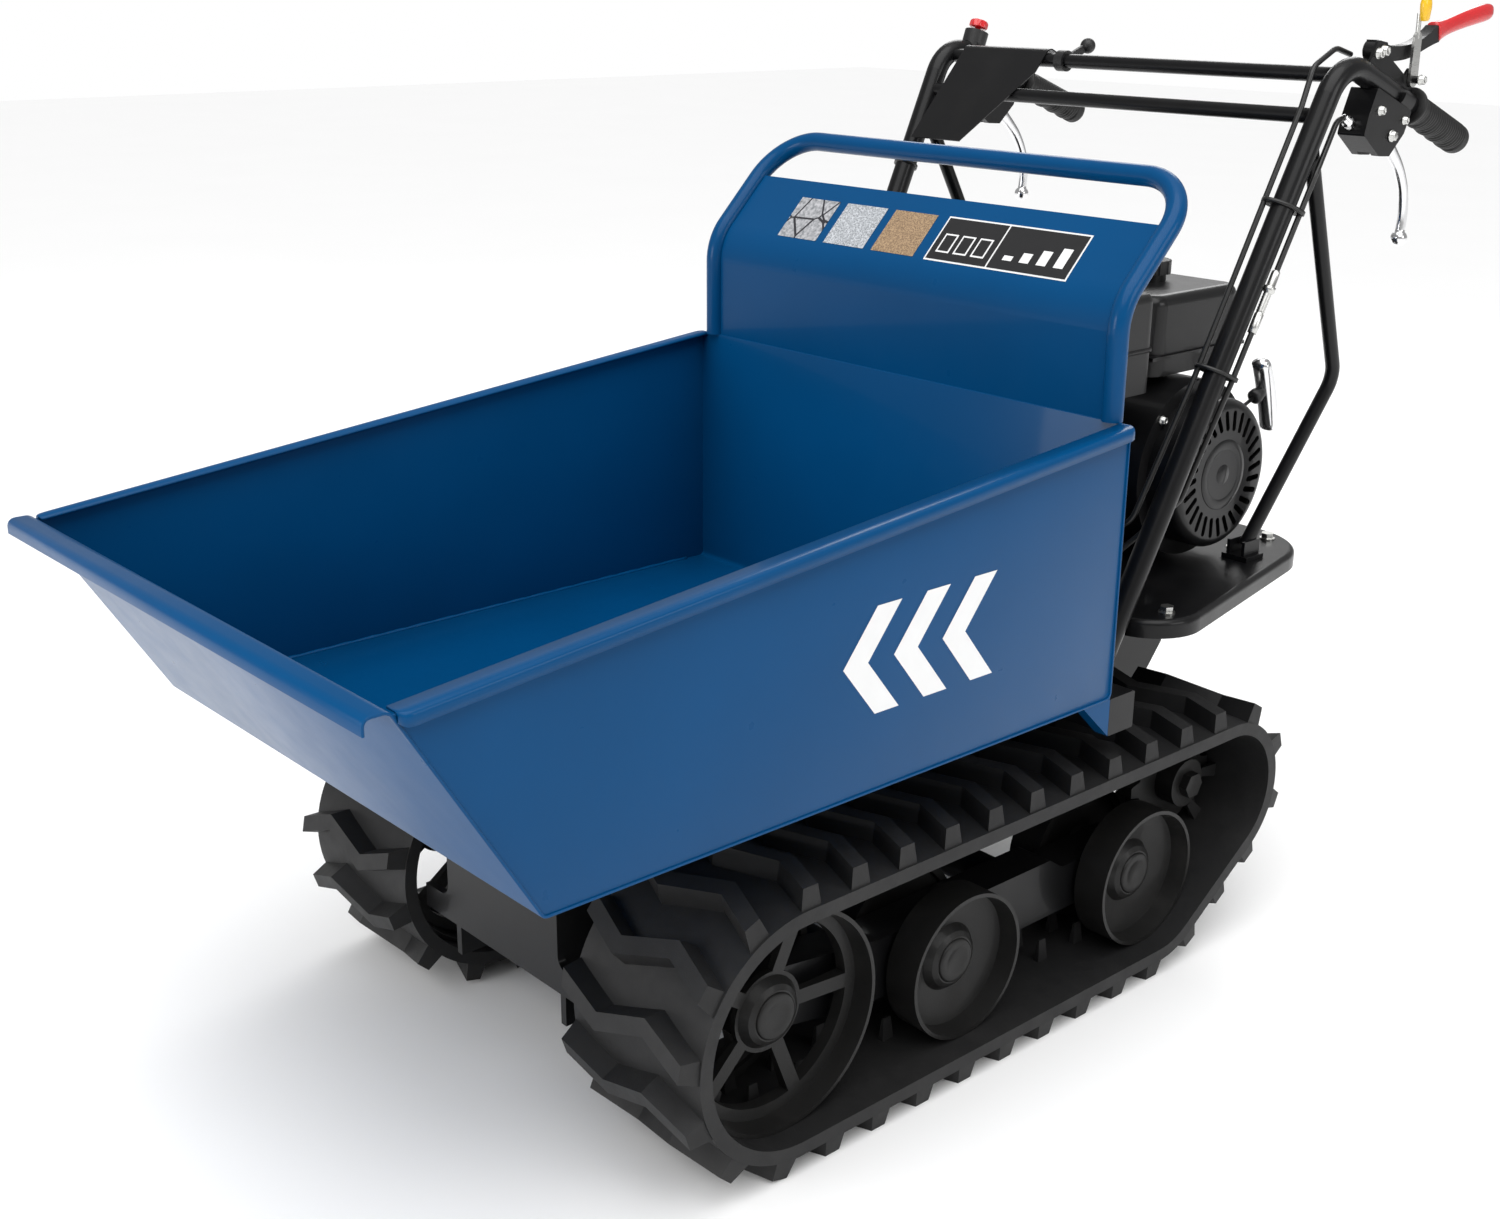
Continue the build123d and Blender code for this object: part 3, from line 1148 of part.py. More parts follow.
throttle_x = -96.0
with BuildPart() as throttle_lever:
    with Locations(along_x(throttle_x, upper_bar_y, upper_bar_z)):
        Cylinder(crossbar_radius + 4, 12)
    with BuildSketch(side_plane(throttle_x - 2)):
        Polygon((upper_bar_y, upper_bar_z + 4), (upper_bar_y + 6, upper_bar_z - 4),
                (upper_bar_y + 46, upper_bar_z + 12), (upper_bar_y + 42, upper_bar_z + 20), align=None)
    extrude(amount=4)
    with Locations((throttle_x, upper_bar_y + 44, upper_bar_z + 16)):
        Sphere(9)
    with Locations(along_x(throttle_x, upper_bar_y, upper_bar_z)):
        Cylinder(crossbar_radius + run_gap, 14, mode=Mode.SUBTRACT)
write(throttle_lever, "throttle_lever")

# ---------------------------------------------------------------- tub latch
latch_open = radians(-32)     # it stands released, and turns forward over the tub's catch


def latch_plane(x):
    """A plane facing +X at the latch's pivot, turned with the released latch."""
    return Plane(origin=(x, latch_bar_y, latch_bar_z), x_dir=(0, cos(latch_open), sin(latch_open)),
                 z_dir=(1, 0, 0))


hook_top = catch_z + 0.5 + 12 - latch_bar_z
with BuildPart() as tub_latch:
    with Locations(along_x(10, latch_bar_y, latch_bar_z)):
        Cylinder(latch_bar_radius, 92)
    with BuildSketch(latch_plane(-9)):
        Polygon((-5, 0), (6, 2), (6, hook_top), (-34, hook_top), (-34, hook_top - 12), (-6, hook_top - 12),
                align=None)
    extrude(amount=18)
    with BuildSketch(latch_plane(36)):
        Polygon((2, 4), (8, -5), (52, 22), (48, 30), align=None)
    extrude(amount=16)
write(tub_latch, "tub_latch")

# ---------------------------------------------------------------- cables
def beside_handle(z, out, behind):
    """A cable's point beside the handlebar's long run: clear of it to the outside, and behind its middle."""
    share = (z - handle_foot_z) / (handle_knee_z - handle_foot_z)
    y = handle_foot_y + (handle_knee_y - handle_foot_y) * share
    reach = (handle_radius + cable_radius) * out
    return (handle_x(z) + reach, y + (handle_radius + cable_radius) * behind, z)


def into_gearbox(x, y):
    """The last leg of a cable, straight down onto the gearbox."""
    return [(x, y, gearbox_top_z + 32), (x, y, gearbox_top_z)]


steering_start = handle_plane(lever_x - 2, 55.5, -52).origin
steering_out = handle_plane(lever_x - 1, 28, -50).origin
left_cable = bent_tube([tuple(steering_start), tuple(steering_out), beside_handle(848, 0.9, 0.95),
                        beside_handle(640, 0.9, 0.85), beside_handle(520, 0.3, 1.4), (200, rear_y + 98, 432),
                        (120, rear_y + 90, 404), (68, rear_y + 88, 366), (60, rear_y + 160, 338),
                        *into_gearbox(50, gearbox_pulley_y - 20)], cable_radius, 22)
with BuildPart() as steering_cables:
    add(left_cable)
    add(mirror(left_cable, about=Plane.YZ))
write(steering_cables, "steering_cables")

drive_start = handle_plane(drive_arm_x - arm_half - 8, 50, handle_radius + 8).origin
over_knee = [(handle_knee_x - 22, handle_knee_y + 21.5, handle_knee_z + 9.2),
             (handle_knee_x - 19, handle_knee_y - 21.9, handle_knee_z - 8)]
drive_route = [tuple(drive_start), *over_knee, beside_handle(914, -0.95, -1.1),
               beside_handle(640, -0.95, -0.95), beside_handle(500, -1.3, -1.0), (104, rear_y + 88, 424),
               (22, rear_y + 90, 384), (22, rear_y + 160, 346), *into_gearbox(16, gearbox_pulley_y)]
with BuildPart() as drive_cable:
    add(bent_tube(drive_route, cable_radius, 22))
write(drive_cable, "drive_cable")
print("controls written")
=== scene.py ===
import json
from math import atan2, cos, hypot, pi, radians, sin, tan

import bmesh
import bpy
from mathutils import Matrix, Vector


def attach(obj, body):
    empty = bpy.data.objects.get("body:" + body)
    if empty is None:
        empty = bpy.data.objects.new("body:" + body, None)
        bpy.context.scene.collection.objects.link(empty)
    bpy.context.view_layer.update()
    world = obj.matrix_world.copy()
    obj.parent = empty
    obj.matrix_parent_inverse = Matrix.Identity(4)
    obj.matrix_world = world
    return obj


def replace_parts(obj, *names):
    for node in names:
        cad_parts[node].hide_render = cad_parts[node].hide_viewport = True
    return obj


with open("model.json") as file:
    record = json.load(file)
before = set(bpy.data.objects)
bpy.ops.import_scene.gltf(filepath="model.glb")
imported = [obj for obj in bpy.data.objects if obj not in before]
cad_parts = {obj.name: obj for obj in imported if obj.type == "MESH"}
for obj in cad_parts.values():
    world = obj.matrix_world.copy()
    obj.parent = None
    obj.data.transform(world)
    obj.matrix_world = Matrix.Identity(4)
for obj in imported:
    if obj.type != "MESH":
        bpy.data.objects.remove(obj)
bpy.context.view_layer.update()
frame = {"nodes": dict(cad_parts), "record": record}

nodes = frame["nodes"]


# camera
cameraSetup = {"place": (1.361, -1.3385, 1.045), "turn": 48.27, "tilt": 19.13, "roll": 0.44, "lens": 44.39}


def addCamera(setup):
    turn, tilt, roll = radians(setup["turn"]), radians(setup["tilt"]), radians(setup["roll"])
    back = Vector((sin(turn) * cos(tilt), -cos(turn) * cos(tilt), sin(tilt)))
    right = Vector((cos(turn), sin(turn), 0))
    up = back.cross(right)
    side = right * cos(roll) + up * sin(roll)
    top = up * cos(roll) - right * sin(roll)
    data = bpy.data.cameras.new("camera")
    data.lens = setup["lens"]
    data.sensor_width = 36
    data.clip_start = 0.05
    camera = bpy.data.objects.new("camera", data)
    bpy.context.scene.collection.objects.link(camera)
    matrix = camera.matrix_world.copy()
    for i, axis in enumerate((side, top, back, Vector(setup["place"]))):
        for j in range(3):
            matrix[j][i] = axis[j]
    camera.matrix_world = matrix
    bpy.context.scene.camera = camera


addCamera(cameraSetup)
print("camera set")


# shader helpers
class Wire:
    # an output socket that takes part in Python sums
    def __init__(self, shader, socket):
        self.shader, self.socket = shader, socket

    def maths(self, operation, first, second):
        return self.shader.add("ShaderNodeMath", {"operation": operation}, {0: first, 1: second})

    def __add__(self, other): return self.maths("ADD", self, other)
    def __radd__(self, other): return self.maths("ADD", other, self)
    def __sub__(self, other): return self.maths("SUBTRACT", self, other)
    def __rsub__(self, other): return self.maths("SUBTRACT", other, self)
    def __mul__(self, other): return self.maths("MULTIPLY", self, other)
    def __rmul__(self, other): return self.maths("MULTIPLY", other, self)
    def __gt__(self, other): return self.maths("GREATER_THAN", self, other)
    def __lt__(self, other): return self.maths("LESS_THAN", self, other)


class Shader:
    def __init__(self, name, **constants):
        self.material = bpy.data.materials.new(name)
        self.material.use_nodes = True
        self.tree = self.material.node_tree
        self.surface = self.tree.nodes["Principled BSDF"]
        for socketName, value in constants.items():
            self.surface.inputs[socketName.replace("_", " ")].default_value = value

    # any node: its type, its settings, then the values or links of its sockets
    def add(self, kind, settings, sockets, output=0):
        node = self.tree.nodes.new(kind)
        for key, value in settings.items():
            if key == "stops":
                ramp = node.color_ramp
                while len(ramp.elements) < len(value):
                    ramp.elements.new(0.5)
                for element, (place, color) in zip(ramp.elements, value):
                    element.position, element.color = place, color
            else:
                setattr(node, key, value)
        for key, value in sockets.items():
            if isinstance(value, Wire):
                self.tree.links.new(value.socket, node.inputs[key])
            else:
                node.inputs[key].default_value = value
        return Wire(self, node.outputs[output])

    def feed(self, socketName, wire):
        self.tree.links.new(wire.socket, self.surface.inputs[socketName])

    def coords(self):
        return self.add("ShaderNodeTexCoord", {}, {}, "Object")

    def noise(self, scale, detail=4.0, roughness=0.5):
        return self.add("ShaderNodeTexNoise", {}, {"Vector": self.coords(), "Scale": scale, "Detail": detail,
                                                   "Roughness": roughness}, "Fac")

    def ramp(self, wire, stops):
        return self.add("ShaderNodeValToRGB", {"stops": stops}, {"Fac": wire}, "Color")

    def blendColors(self, factor, first, second):
        return self.add("ShaderNodeMix", {"data_type": "RGBA"}, {0: factor, 6: first, 7: second}, 2)

    def bump(self, height, strength, distance):
        return self.add("ShaderNodeBump", {}, {"Height": height, "Strength": strength, "Distance": distance})


def shade(value, alpha=1.0):
    return (value, value, value, alpha)


def tint(color, gain):
    return (color[0] * gain, color[1] * gain, color[2] * gain, 1.0)


# paint: a base colour that drifts a little, fine orange peel, and dust in broad patches
def paint(name, color, roughness, coat, peel=0.05, dust=0.03, dustColor=(0.12, 0.11, 0.1, 1.0), gloss=0.25):
    s = Shader(name, Coat_Roughness=0.06, Coat_IOR=1.35, Specular_IOR_Level=gloss)
    drift = s.noise(6.0)
    body = s.blendColors(drift, tint(color, 0.88), tint(color, 1.12))
    patches = s.ramp(s.noise(14.0, 8.0, 0.62), [(0.52, shade(0.0)), (0.78, shade(1.0))])
    s.feed("Base Color", s.blendColors(patches * dust, body, dustColor))
    s.feed("Roughness", roughness + (s.noise(30.0, 6.0) - 0.5) * 0.12 + patches * dust * 2.0)
    s.feed("Coat Weight", coat - patches * dust * 3.0)
    s.feed("Normal", s.bump(s.noise(420.0, 2.0), peel, 0.0012))
    return s.material


# moulded rubber: fine pits, flow marks and a grey bloom
def rubber(name, color, roughness, bloom):
    s = Shader(name, Specular_IOR_Level=0.35)
    marks = s.ramp(s.noise(9.0, 9.0, 0.65), [(0.42, shade(0.0)), (0.75, shade(1.0))])
    s.feed("Base Color", s.blendColors(marks * bloom, tint(color, 1.0), (0.085, 0.082, 0.078, 1.0)))
    s.feed("Roughness", roughness + (s.noise(60.0) - 0.5) * 0.2)
    height = s.noise(900.0, 3.0) * 0.4 + s.noise(110.0, 5.0) * 0.6
    s.feed("Normal", s.bump(height, 0.28, 0.0012))
    return s.material


# bare or plated metal: brushed drift in brightness and roughness
def metal(name, color, roughness, grain=(40.0, 40.0, 400.0), contrast=0.16, bump=0.05):
    s = Shader(name, Metallic=1.0)
    stretched = s.add("ShaderNodeMapping", {}, {"Vector": s.coords(), "Scale": grain})
    streaks = s.add("ShaderNodeTexNoise", {}, {"Vector": stretched, "Scale": 1.0, "Detail": 6.0}, "Fac")
    cloud = s.noise(24.0, 6.0)
    s.feed("Base Color", s.blendColors(cloud, tint(color, 1 - contrast), tint(color, 1.05)))
    s.feed("Roughness", roughness + (streaks - 0.5) * 0.25 + (cloud - 0.5) * 0.12)
    s.feed("Normal", s.bump(streaks, bump, 0.0006))
    return s.material


# moulded plastic: spark-eroded texture, with a slight rub on the high places
def plastic(name, color, roughness, texture=0.12, coat=0.0):
    s = Shader(name, Coat_Roughness=0.12, Coat_Weight=coat)
    cloud = s.noise(18.0, 5.0)
    s.feed("Base Color", s.blendColors(cloud, tint(color, 0.85), tint(color, 1.15)))
    s.feed("Roughness", roughness + (cloud - 0.5) * 0.15)
    s.feed("Normal", s.bump(s.noise(700.0, 2.0), texture, 0.0008))
    return s.material


# sand casting: coarse skin under dark paint
def casting(name, color, roughness, metallic):
    s = Shader(name, Metallic=metallic)
    cloud = s.noise(16.0, 7.0, 0.6)
    s.feed("Base Color", s.blendColors(cloud, tint(color, 0.75), tint(color, 1.25)))
    s.feed("Roughness", roughness + (cloud - 0.5) * 0.2)
    s.feed("Normal", s.bump(s.noise(260.0, 5.0) * 0.7 + s.noise(60.0) * 0.3, 0.3, 0.0015))
    return s.material


paints = {"blue": (0.0004, 0.057, 0.170), "black": (0.0045, 0.0045, 0.005), "wheel": (0.010, 0.0098, 0.0096)}
finishes = {
    "tub_blue": paint("tubBlue", paints["blue"], 0.30, 0.16, peel=0.02, dust=0.004, gloss=0.10),
    "frame_black": paint("frameBlack", paints["black"], 0.34, 0.2, peel=0.06, gloss=0.2),
    "wheel_black": paint("wheelBlack", paints["wheel"], 0.42, 0.12, peel=0.1, dust=0.08),
    "engine_black": paint("engineBlack", paints["black"], 0.36, 0.3, peel=0.05, dust=0.04),
    "track_rubber": rubber("trackRubber", (0.0085, 0.0085, 0.009), 0.58, 0.12),
    "grip_rubber": rubber("gripRubber", (0.008, 0.008, 0.008), 0.5, 0.06),
    "belt_rubber": rubber("beltRubber", (0.02, 0.02, 0.02), 0.7, 0.3),
    "steel": metal("zincSteel", (0.62, 0.62, 0.60), 0.30),
    "bright_alloy": metal("brightAlloy", (0.84, 0.84, 0.85), 0.18, grain=(60.0, 60.0, 60.0), contrast=0.1),
    "engine_cast": casting("engineCast", (0.010, 0.010, 0.011), 0.5, 0.1),
    "engine_plastic": plastic("enginePlastic", (0.007, 0.007, 0.0075), 0.45),
    "red_plastic": plastic("redPlastic", (0.56, 0.008, 0.012), 0.24, texture=0.03, coat=0.4),
    "yellow_plastic": plastic("yellowPlastic", (0.80, 0.47, 0.01), 0.28, texture=0.03, coat=0.3),
    "cable_black": plastic("cableBlack", (0.007, 0.007, 0.007), 0.35, texture=0.05),
}
slotOf = {part["node"]: part["material_slot"] for part in frame["record"]["subparts"]}
for nodeName, node in nodes.items():
    for place in node.material_slots:
        place.material = finishes[slotOf[nodeName]]
print("finishes made")


# mesh helpers
def makeObject(name, mesh, body, slotName, material=None, smooth=True):
    mesh.materials.append(material or finishes[slotName])
    piece = bpy.data.objects.new(name, mesh)
    bpy.context.scene.collection.objects.link(piece)
    if smooth:
        for face in mesh.polygons:
            face.use_smooth = True
    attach(piece, body)
    return piece


def meshFrom(name, points, faces):
    mesh = bpy.data.meshes.new(name)
    mesh.from_pydata([tuple(p) for p in points], [], faces)
    bm = bmesh.new()
    bm.from_mesh(mesh)
    bmesh.ops.recalc_face_normals(bm, faces=bm.faces)
    bm.to_mesh(mesh)
    bm.free()
    return mesh


# skins closed rings of equal length, and closes both ends
def loft(name, rings):
    count = len(rings[0])
    points = [p for ring in rings for p in ring]
    faces = []
    for i in range(len(rings) - 1):
        for j in range(count):
            k = (j + 1) % count
            faces.append((i * count + j, i * count + k, (i + 1) * count + k, (i + 1) * count + j))
    faces.append(tuple(range(count)))
    faces.append(tuple(range((len(rings) - 1) * count, len(rings) * count)))
    return meshFrom(name, points, faces)


def sharpen(piece, angle=35.0, bevel=0.0, segments=2):
    if bevel:
        edge = piece.modifiers.new("edge", "BEVEL")
        edge.width, edge.segments, edge.limit_method = bevel, segments, "ANGLE"
        edge.angle_limit = radians(angle)
        edge.harden_normals = False
    bpy.context.view_layer.objects.active = piece
    with bpy.context.temp_override(object=piece, active_object=piece, selected_objects=[piece],
                                   selected_editable_objects=[piece]):
        bpy.ops.object.shade_auto_smooth(angle=radians(angle))


# a polyline with its corners rounded
def roundCorners(points, radius, steps=6):
    out = [Vector(points[0])]
    for before, corner, after in zip(points, points[1:], points[2:]):
        before, corner, after = Vector(before), Vector(corner), Vector(after)
        toBefore, toAfter = (before - corner).normalized(), (after - corner).normalized()
        half = toBefore.angle(toAfter) / 2
        longest = 0.49 * min((before - corner).length, (after - corner).length)
        cut = min(radius / max(0.05, tan(half)), longest)
        start, end = corner + toBefore * cut, corner + toAfter * cut
        for i in range(steps + 1):
            t = i / steps
            out.append(start.lerp(corner, t).lerp(corner.lerp(end, t), t))
    out.append(Vector(points[-1]))
    return out


# gives an open section a thickness, to the left of its direction of travel
def thicken(points, thickness):
    other = []
    for i, p in enumerate(points):
        before, after = points[max(0, i - 1)], points[min(len(points) - 1, i + 1)]
        along = (after - before).normalized()
        other.append(p + Vector((-along.y, along.x)) * thickness)
    return list(points) + other[::-1]


# tub
tub = {"sheet": 0.0025, "halfWidth": 0.3160, "rimHalf": 0.3255, "rimWidth": 0.022, "rimDrop": 0.012,
       "lip": (-0.7615, 0.558), "lipWidth": 0.022, "foot": (-0.6165, 0.355), "rear": 0.0785, "rearTop": 0.636,
       "fold": 0.009, "overlap": 0.0011}


def buildTub(t):
    lipY, lipZ = t["lip"]
    edgeY = lipY + t["lipWidth"]
    foldY = lipY + t["sheet"]
    section = roundCorners([(foldY, lipZ - t["rimDrop"]), (foldY, lipZ), (edgeY, lipZ), t["foot"],
                            (t["rear"], t["foot"][1]), (t["rear"], t["rearTop"])], t["fold"], 7)
    closed = thicken(section, t["sheet"])
    width = t["halfWidth"] + t["overlap"]
    rings = [[(x, p.x, p.y) for p in closed] for x in (-width, width)]
    sheet = makeObject("tubSheet", loft("tubSheet", rings), "tub", "tub_blue")
    sharpen(sheet, 30, 0.0006)
    inset = 0.0004
    for side, sideName in ((1, "Left"), (-1, "Right")):
        outline = [(edgeY + 0.001, lipZ - 0.002), (t["foot"][0] + 0.0012, t["foot"][1] + inset),
                   (t["rear"] - inset, t["foot"][1] + inset), (t["rear"] - inset, t["rearTop"] - 0.001)]
        wallInner = t["halfWidth"] - t["sheet"]
        rings = [[(side * x, y, z) for y, z in outline] for x in (t["halfWidth"], wallInner)]
        wall = makeObject("tubWall" + sideName, loft("tubWall" + sideName, rings), "tub", "tub_blue")
        sharpen(wall, 30, 0.0005)
        # the rim strip, rolled down along its outer edge
        inner, outer = t["rimHalf"] - t["rimWidth"], t["rimHalf"] - 0.0003
        rim = roundCorners([(inner, 0.0), (outer, 0.0), (outer, -t["rimDrop"])], 0.006, 8)
        rimClosed = thicken(rim, -t["sheet"])
        startY, endY = edgeY + 0.006, t["rear"]
        slope = (t["rearTop"] - lipZ) / (t["rear"] - edgeY)
        rings = []
        for y, pull in ((startY, 0.55), (startY + 0.0015, 0.3), (startY + 0.004, 0.1), (startY + 0.009, 0.0),
                        (endY - 0.009, 0.0), (endY - 0.004, 0.1), (endY - 0.0015, 0.3), (endY, 0.55)):
            z = lipZ + slope * (y - edgeY)
            rings.append([(side * (p.x - pull * 0.011 * (p.x - inner) / (outer - inner)), y,
                           z + p.y * (1 - pull * 0.5)) for p in rimClosed])
        strip = makeObject("tubRim" + sideName, loft("tubRim" + sideName, rings), "tub", "tub_blue")
        sharpen(strip, 40)
        # weld bead between wall and floor, inside
        bead = []
        for i in range(61):
            y = t["foot"][0] + 0.02 + (t["rear"] - t["foot"][0] - 0.05) * i / 60
            r = 0.0022 + 0.0004 * sin(i * 2.1)
            bead.append([(side * (wallInner - 0.0004 - r * cos(a)), y,
                          t["foot"][1] + t["sheet"] + 0.0004 + r * sin(a)) for a in
                         [pi * 2 * k / 10 for k in range(10)]])
        makeObject("tubBead" + sideName, loft("tubBead" + sideName, bead), "tub", "tub_blue")
    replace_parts(sheet, "tub_shell")


buildTub(tub)
print("tub built")


# hand controls, laid out in the handlebar's own plane
handle = {"knee": (0.277, 0.4435, 0.961), "tip": (0.275, 0.7015, 0.866), "radius": 0.0125}
gripRun = hypot(handle["tip"][1] - handle["knee"][1], handle["knee"][2] - handle["tip"][2])
gripFall = atan2(handle["knee"][2] - handle["tip"][2], handle["tip"][1] - handle["knee"][1])
handAlong = Vector((0, cos(gripFall), -sin(gripFall)))
handUp = Vector((0, sin(gripFall), cos(gripFall)))


# a point beside the handlebar: x, millimetres along the rear run, millimetres above it
def atHand(x, along, above):
    knee = Vector((x, handle["knee"][1], handle["knee"][2]))
    return knee + handAlong * (along / 1000) + handUp * (above / 1000)


# rings of an oval rod along points, each with its two half sizes; power 2 is round, more is squarer
def ovalRings(points, sizes, across, count=20, power=2.0):
    rings = []
    for i, p in enumerate(points):
        before, after = points[max(0, i - 1)], points[min(len(points) - 1, i + 1)]
        along = (after - before).normalized()
        up = across.cross(along).normalized()
        ring = []
        for k in range(count):
            a = 2 * pi * k / count
            c, s = cos(a), sin(a)
            u = abs(c) ** (2 / power) * (1 if c >= 0 else -1)
            v = abs(s) ** (2 / power) * (1 if s >= 0 else -1)
            ring.append(p + across * (u * sizes[i][0]) + up * (v * sizes[i][1]))
        rings.append(ring)
    return rings


# points on a smooth line through a few given ones
def smoothLine(points, steps=6):
    points = [Vector(p) for p in points]
    out = []
    for i in range(len(points) - 1):
        a, b = points[max(0, i - 1)], points[i]
        c, d = points[i + 1], points[min(len(points) - 1, i + 2)]
        for k in range(steps):
            t = k / steps
            out.append(0.5 * ((2 * b) + (c - a) * t + (2 * a - 5 * b + 4 * c - d) * t * t
                              + (3 * b - a - 3 * c + d) * t ** 3))
    out.append(points[-1])
    return out


# turns a profile of (along, radius) about an axis; flute changes the radius with the angle
def turned(name, origin, axis, profile, count=40, flute=None):
    axis = axis.normalized()
    first = axis.orthogonal().normalized() if abs(axis.x) > 0.9 else Vector((1, 0, 0))
    first = (first - axis * first.dot(axis)).normalized()
    second = axis.cross(first)
    rings = []
    for along, radius in profile:
        ring = []
        for k in range(count):
            a = 2 * pi * k / count
            r = radius * (flute(a, along) if flute else 1.0)
            ring.append(origin + axis * along + first * (r * cos(a)) + second * (r * sin(a)))
        rings.append(ring)
    return loft(name, rings)


# how far out a hexagon's edge lies at an angle, as a share of its corners
def hexShare(angle):
    return cos(pi / 6) / cos(angle % (pi / 3) - pi / 6)


steeringLever = {"x": 0.276, "line": [(100, -52), (112, -47), (130, -48), (152, -55), (175, -66), (195, -83),
                                      (208, -104), (214, -124)],
                 "root": (6.4, 10.5), "waist": (4.9, 5.6), "taper": 0.78, "ball": 8.8}


def buildSteeringLever(side, sideName, s):
    line = smoothLine([(along, above, 0) for along, above in s["line"]], 5)
    n = len(line)
    points, sizes = [], []
    for i, p in enumerate(line):
        t = i / (n - 1)
        ease = min(1.0, t / s["taper"])
        ease = ease * (2 - ease)
        wide = s["root"][0] + (s["waist"][0] - s["root"][0]) * ease
        deep = s["root"][1] + (s["waist"][1] - s["root"][1]) * ease
        if t < 0.05:
            wide, deep = wide * (0.55 + 9 * t), deep * (0.55 + 9 * t)
        ridge = 1.0 + 0.10 * max(0.0, 1 - abs(t - 0.34) / 0.035)
        points.append(atHand(side * s["x"], p.x, p.y))
        sizes.append((wide * ridge / 1000, deep * ridge / 1000))
    # the ball
    direction = (points[-1] - points[-2]).normalized()
    centre = points[-1] + direction * 0.007
    for k in range(1, 12):
        a = pi * (0.17 + 0.83 * k / 11)
        r = max(0.0004, s["ball"] / 1000 * sin(a))
        points.append(centre - direction * (s["ball"] / 1000 * cos(a)))
        sizes.append((r, r))
    rings = ovalRings(points, sizes, Vector((1, 0, 0)), 22, 2.3)
    name = "steeringLever" + sideName
    lever = makeObject(name, loft(name, rings), sideName.lower() + "_steering", "bright_alloy")
    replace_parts(lever, "steering_lever_" + sideName.lower())
    bolt = turned("leverBolt" + sideName, atHand(side * (s["x"] + 0.0163), 110, -46),
                  Vector((1, 0, 0)) * side,
                  [(0.0, 0.0062), (0.0006, 0.0066), (0.0016, 0.0066), (0.0016, 0.0050), (0.0052, 0.0050),
                   (0.0058, 0.0044)], 36, lambda a, x: 1.0 if x < 0.0016 else hexShare(a))
    sharpen(makeObject("leverBolt" + sideName, bolt, "frame", "steel"), 30)


gripShape = {"length": 0.122, "radius": 0.0168, "collar": 0.0208, "grooves": 4, "ribs": 0.0004}


def buildGrip(side, sideName, g):
    tip = Vector((side * handle["tip"][0], handle["tip"][1], handle["tip"][2]))
    knee = Vector((side * handle["knee"][0], handle["knee"][1], handle["knee"][2]))
    axis = (tip - knee).normalized()
    origin = tip - axis * g["length"]
    full = g["length"] + 0.0048
    profile = [(0.0, 0.0126), (0.0, g["collar"] - 0.001), (0.001, g["collar"]), (0.0038, g["collar"]),
               (0.0050, g["collar"] - 0.0012), (0.0065, g["radius"] + 0.0004)]
    for i in range(96):
        along = 0.008 + (full - 0.017) * i / 95
        profile.append((along, g["radius"] + g["ribs"] * (1 if i % 4 < 2 else -1) * (0.1 < i / 95 < 0.93)))
    for k in range(1, 9):
        a = pi / 2 * k / 8
        profile.append((full - 0.009 + 0.009 * sin(a), max(0.0005, g["radius"] - 0.009 + 0.009 * cos(a))
                        if k < 8 else 0.0006))
    start, end = 0.014, full - 0.016

    def finger(angle, along):
        # grooves for four fingers on the underside
        if not start < along < end:
            return 1.0
        under = max(0.0, -sin(angle))
        wave = 0.5 - 0.5 * cos(2 * pi * g["grooves"] * (along - start) / (end - start))
        return 1.0 - 0.10 * under * (1 - wave)

    second = axis.cross((Vector((1, 0, 0)) - axis * axis.x).normalized())
    flip = 1 if second.z > 0 else -1
    name = "handGrip" + sideName
    mesh = turned(name, origin, axis, profile, 56, lambda a, x: finger(a * flip, x))
    return makeObject(name, mesh, "frame", "grip_rubber")


for side, sideName in ((1, "Left"), (-1, "Right")):
    buildSteeringLever(side, sideName, steeringLever)
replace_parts(buildGrip(1, "Left", gripShape), "hand_grips")
buildGrip(-1, "Right", gripShape)

driveGrip = {"x": 0.268, "root": (172.0, 87.0), "tip": (281.0, 151.1), "half": (0.0088, 0.0116)}


def buildDriveGrip(d):
    root, tip = atHand(d["x"], *d["root"]), atHand(d["x"], *d["tip"])
    direction = (tip - root).normalized()
    length = (tip - root).length
    points, sizes = [], []
    for t, grow in ((0.0, 0.80), (0.004, 1.0), (0.02, 1.0), (0.05, 0.93), (0.12, 0.80), (0.22, 0.74),
                    (0.36, 0.76),
                    (0.5, 0.80), (0.62, 0.82), (0.74, 0.84), (0.84, 0.84), (0.90, 0.80), (0.945, 0.68),
                    (0.975, 0.48), (0.993, 0.24), (1.0, 0.05)):
        points.append(root + direction * (length * t) + handUp * (0.0022 * sin(pi * t)))
        sizes.append((d["half"][0] * grow, d["half"][1] * grow))
    rings = ovalRings(points, sizes, Vector((1, 0, 0)), 28, 2.8)
    grip = makeObject("driveLeverGrip", loft("driveLeverGrip", rings), "drive_hand_lever", "red_plastic")
    smoother = grip.modifiers.new("smoother", "SUBSURF")
    smoother.levels = smoother.render_levels = 1
    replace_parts(grip, "drive_lever_grip")


buildDriveGrip(driveGrip)

lockKnob = {"x": 0.2872, "from": (116.1, 80.6), "to": (106.1, 104.6), "half": (0.0048, 0.0078)}


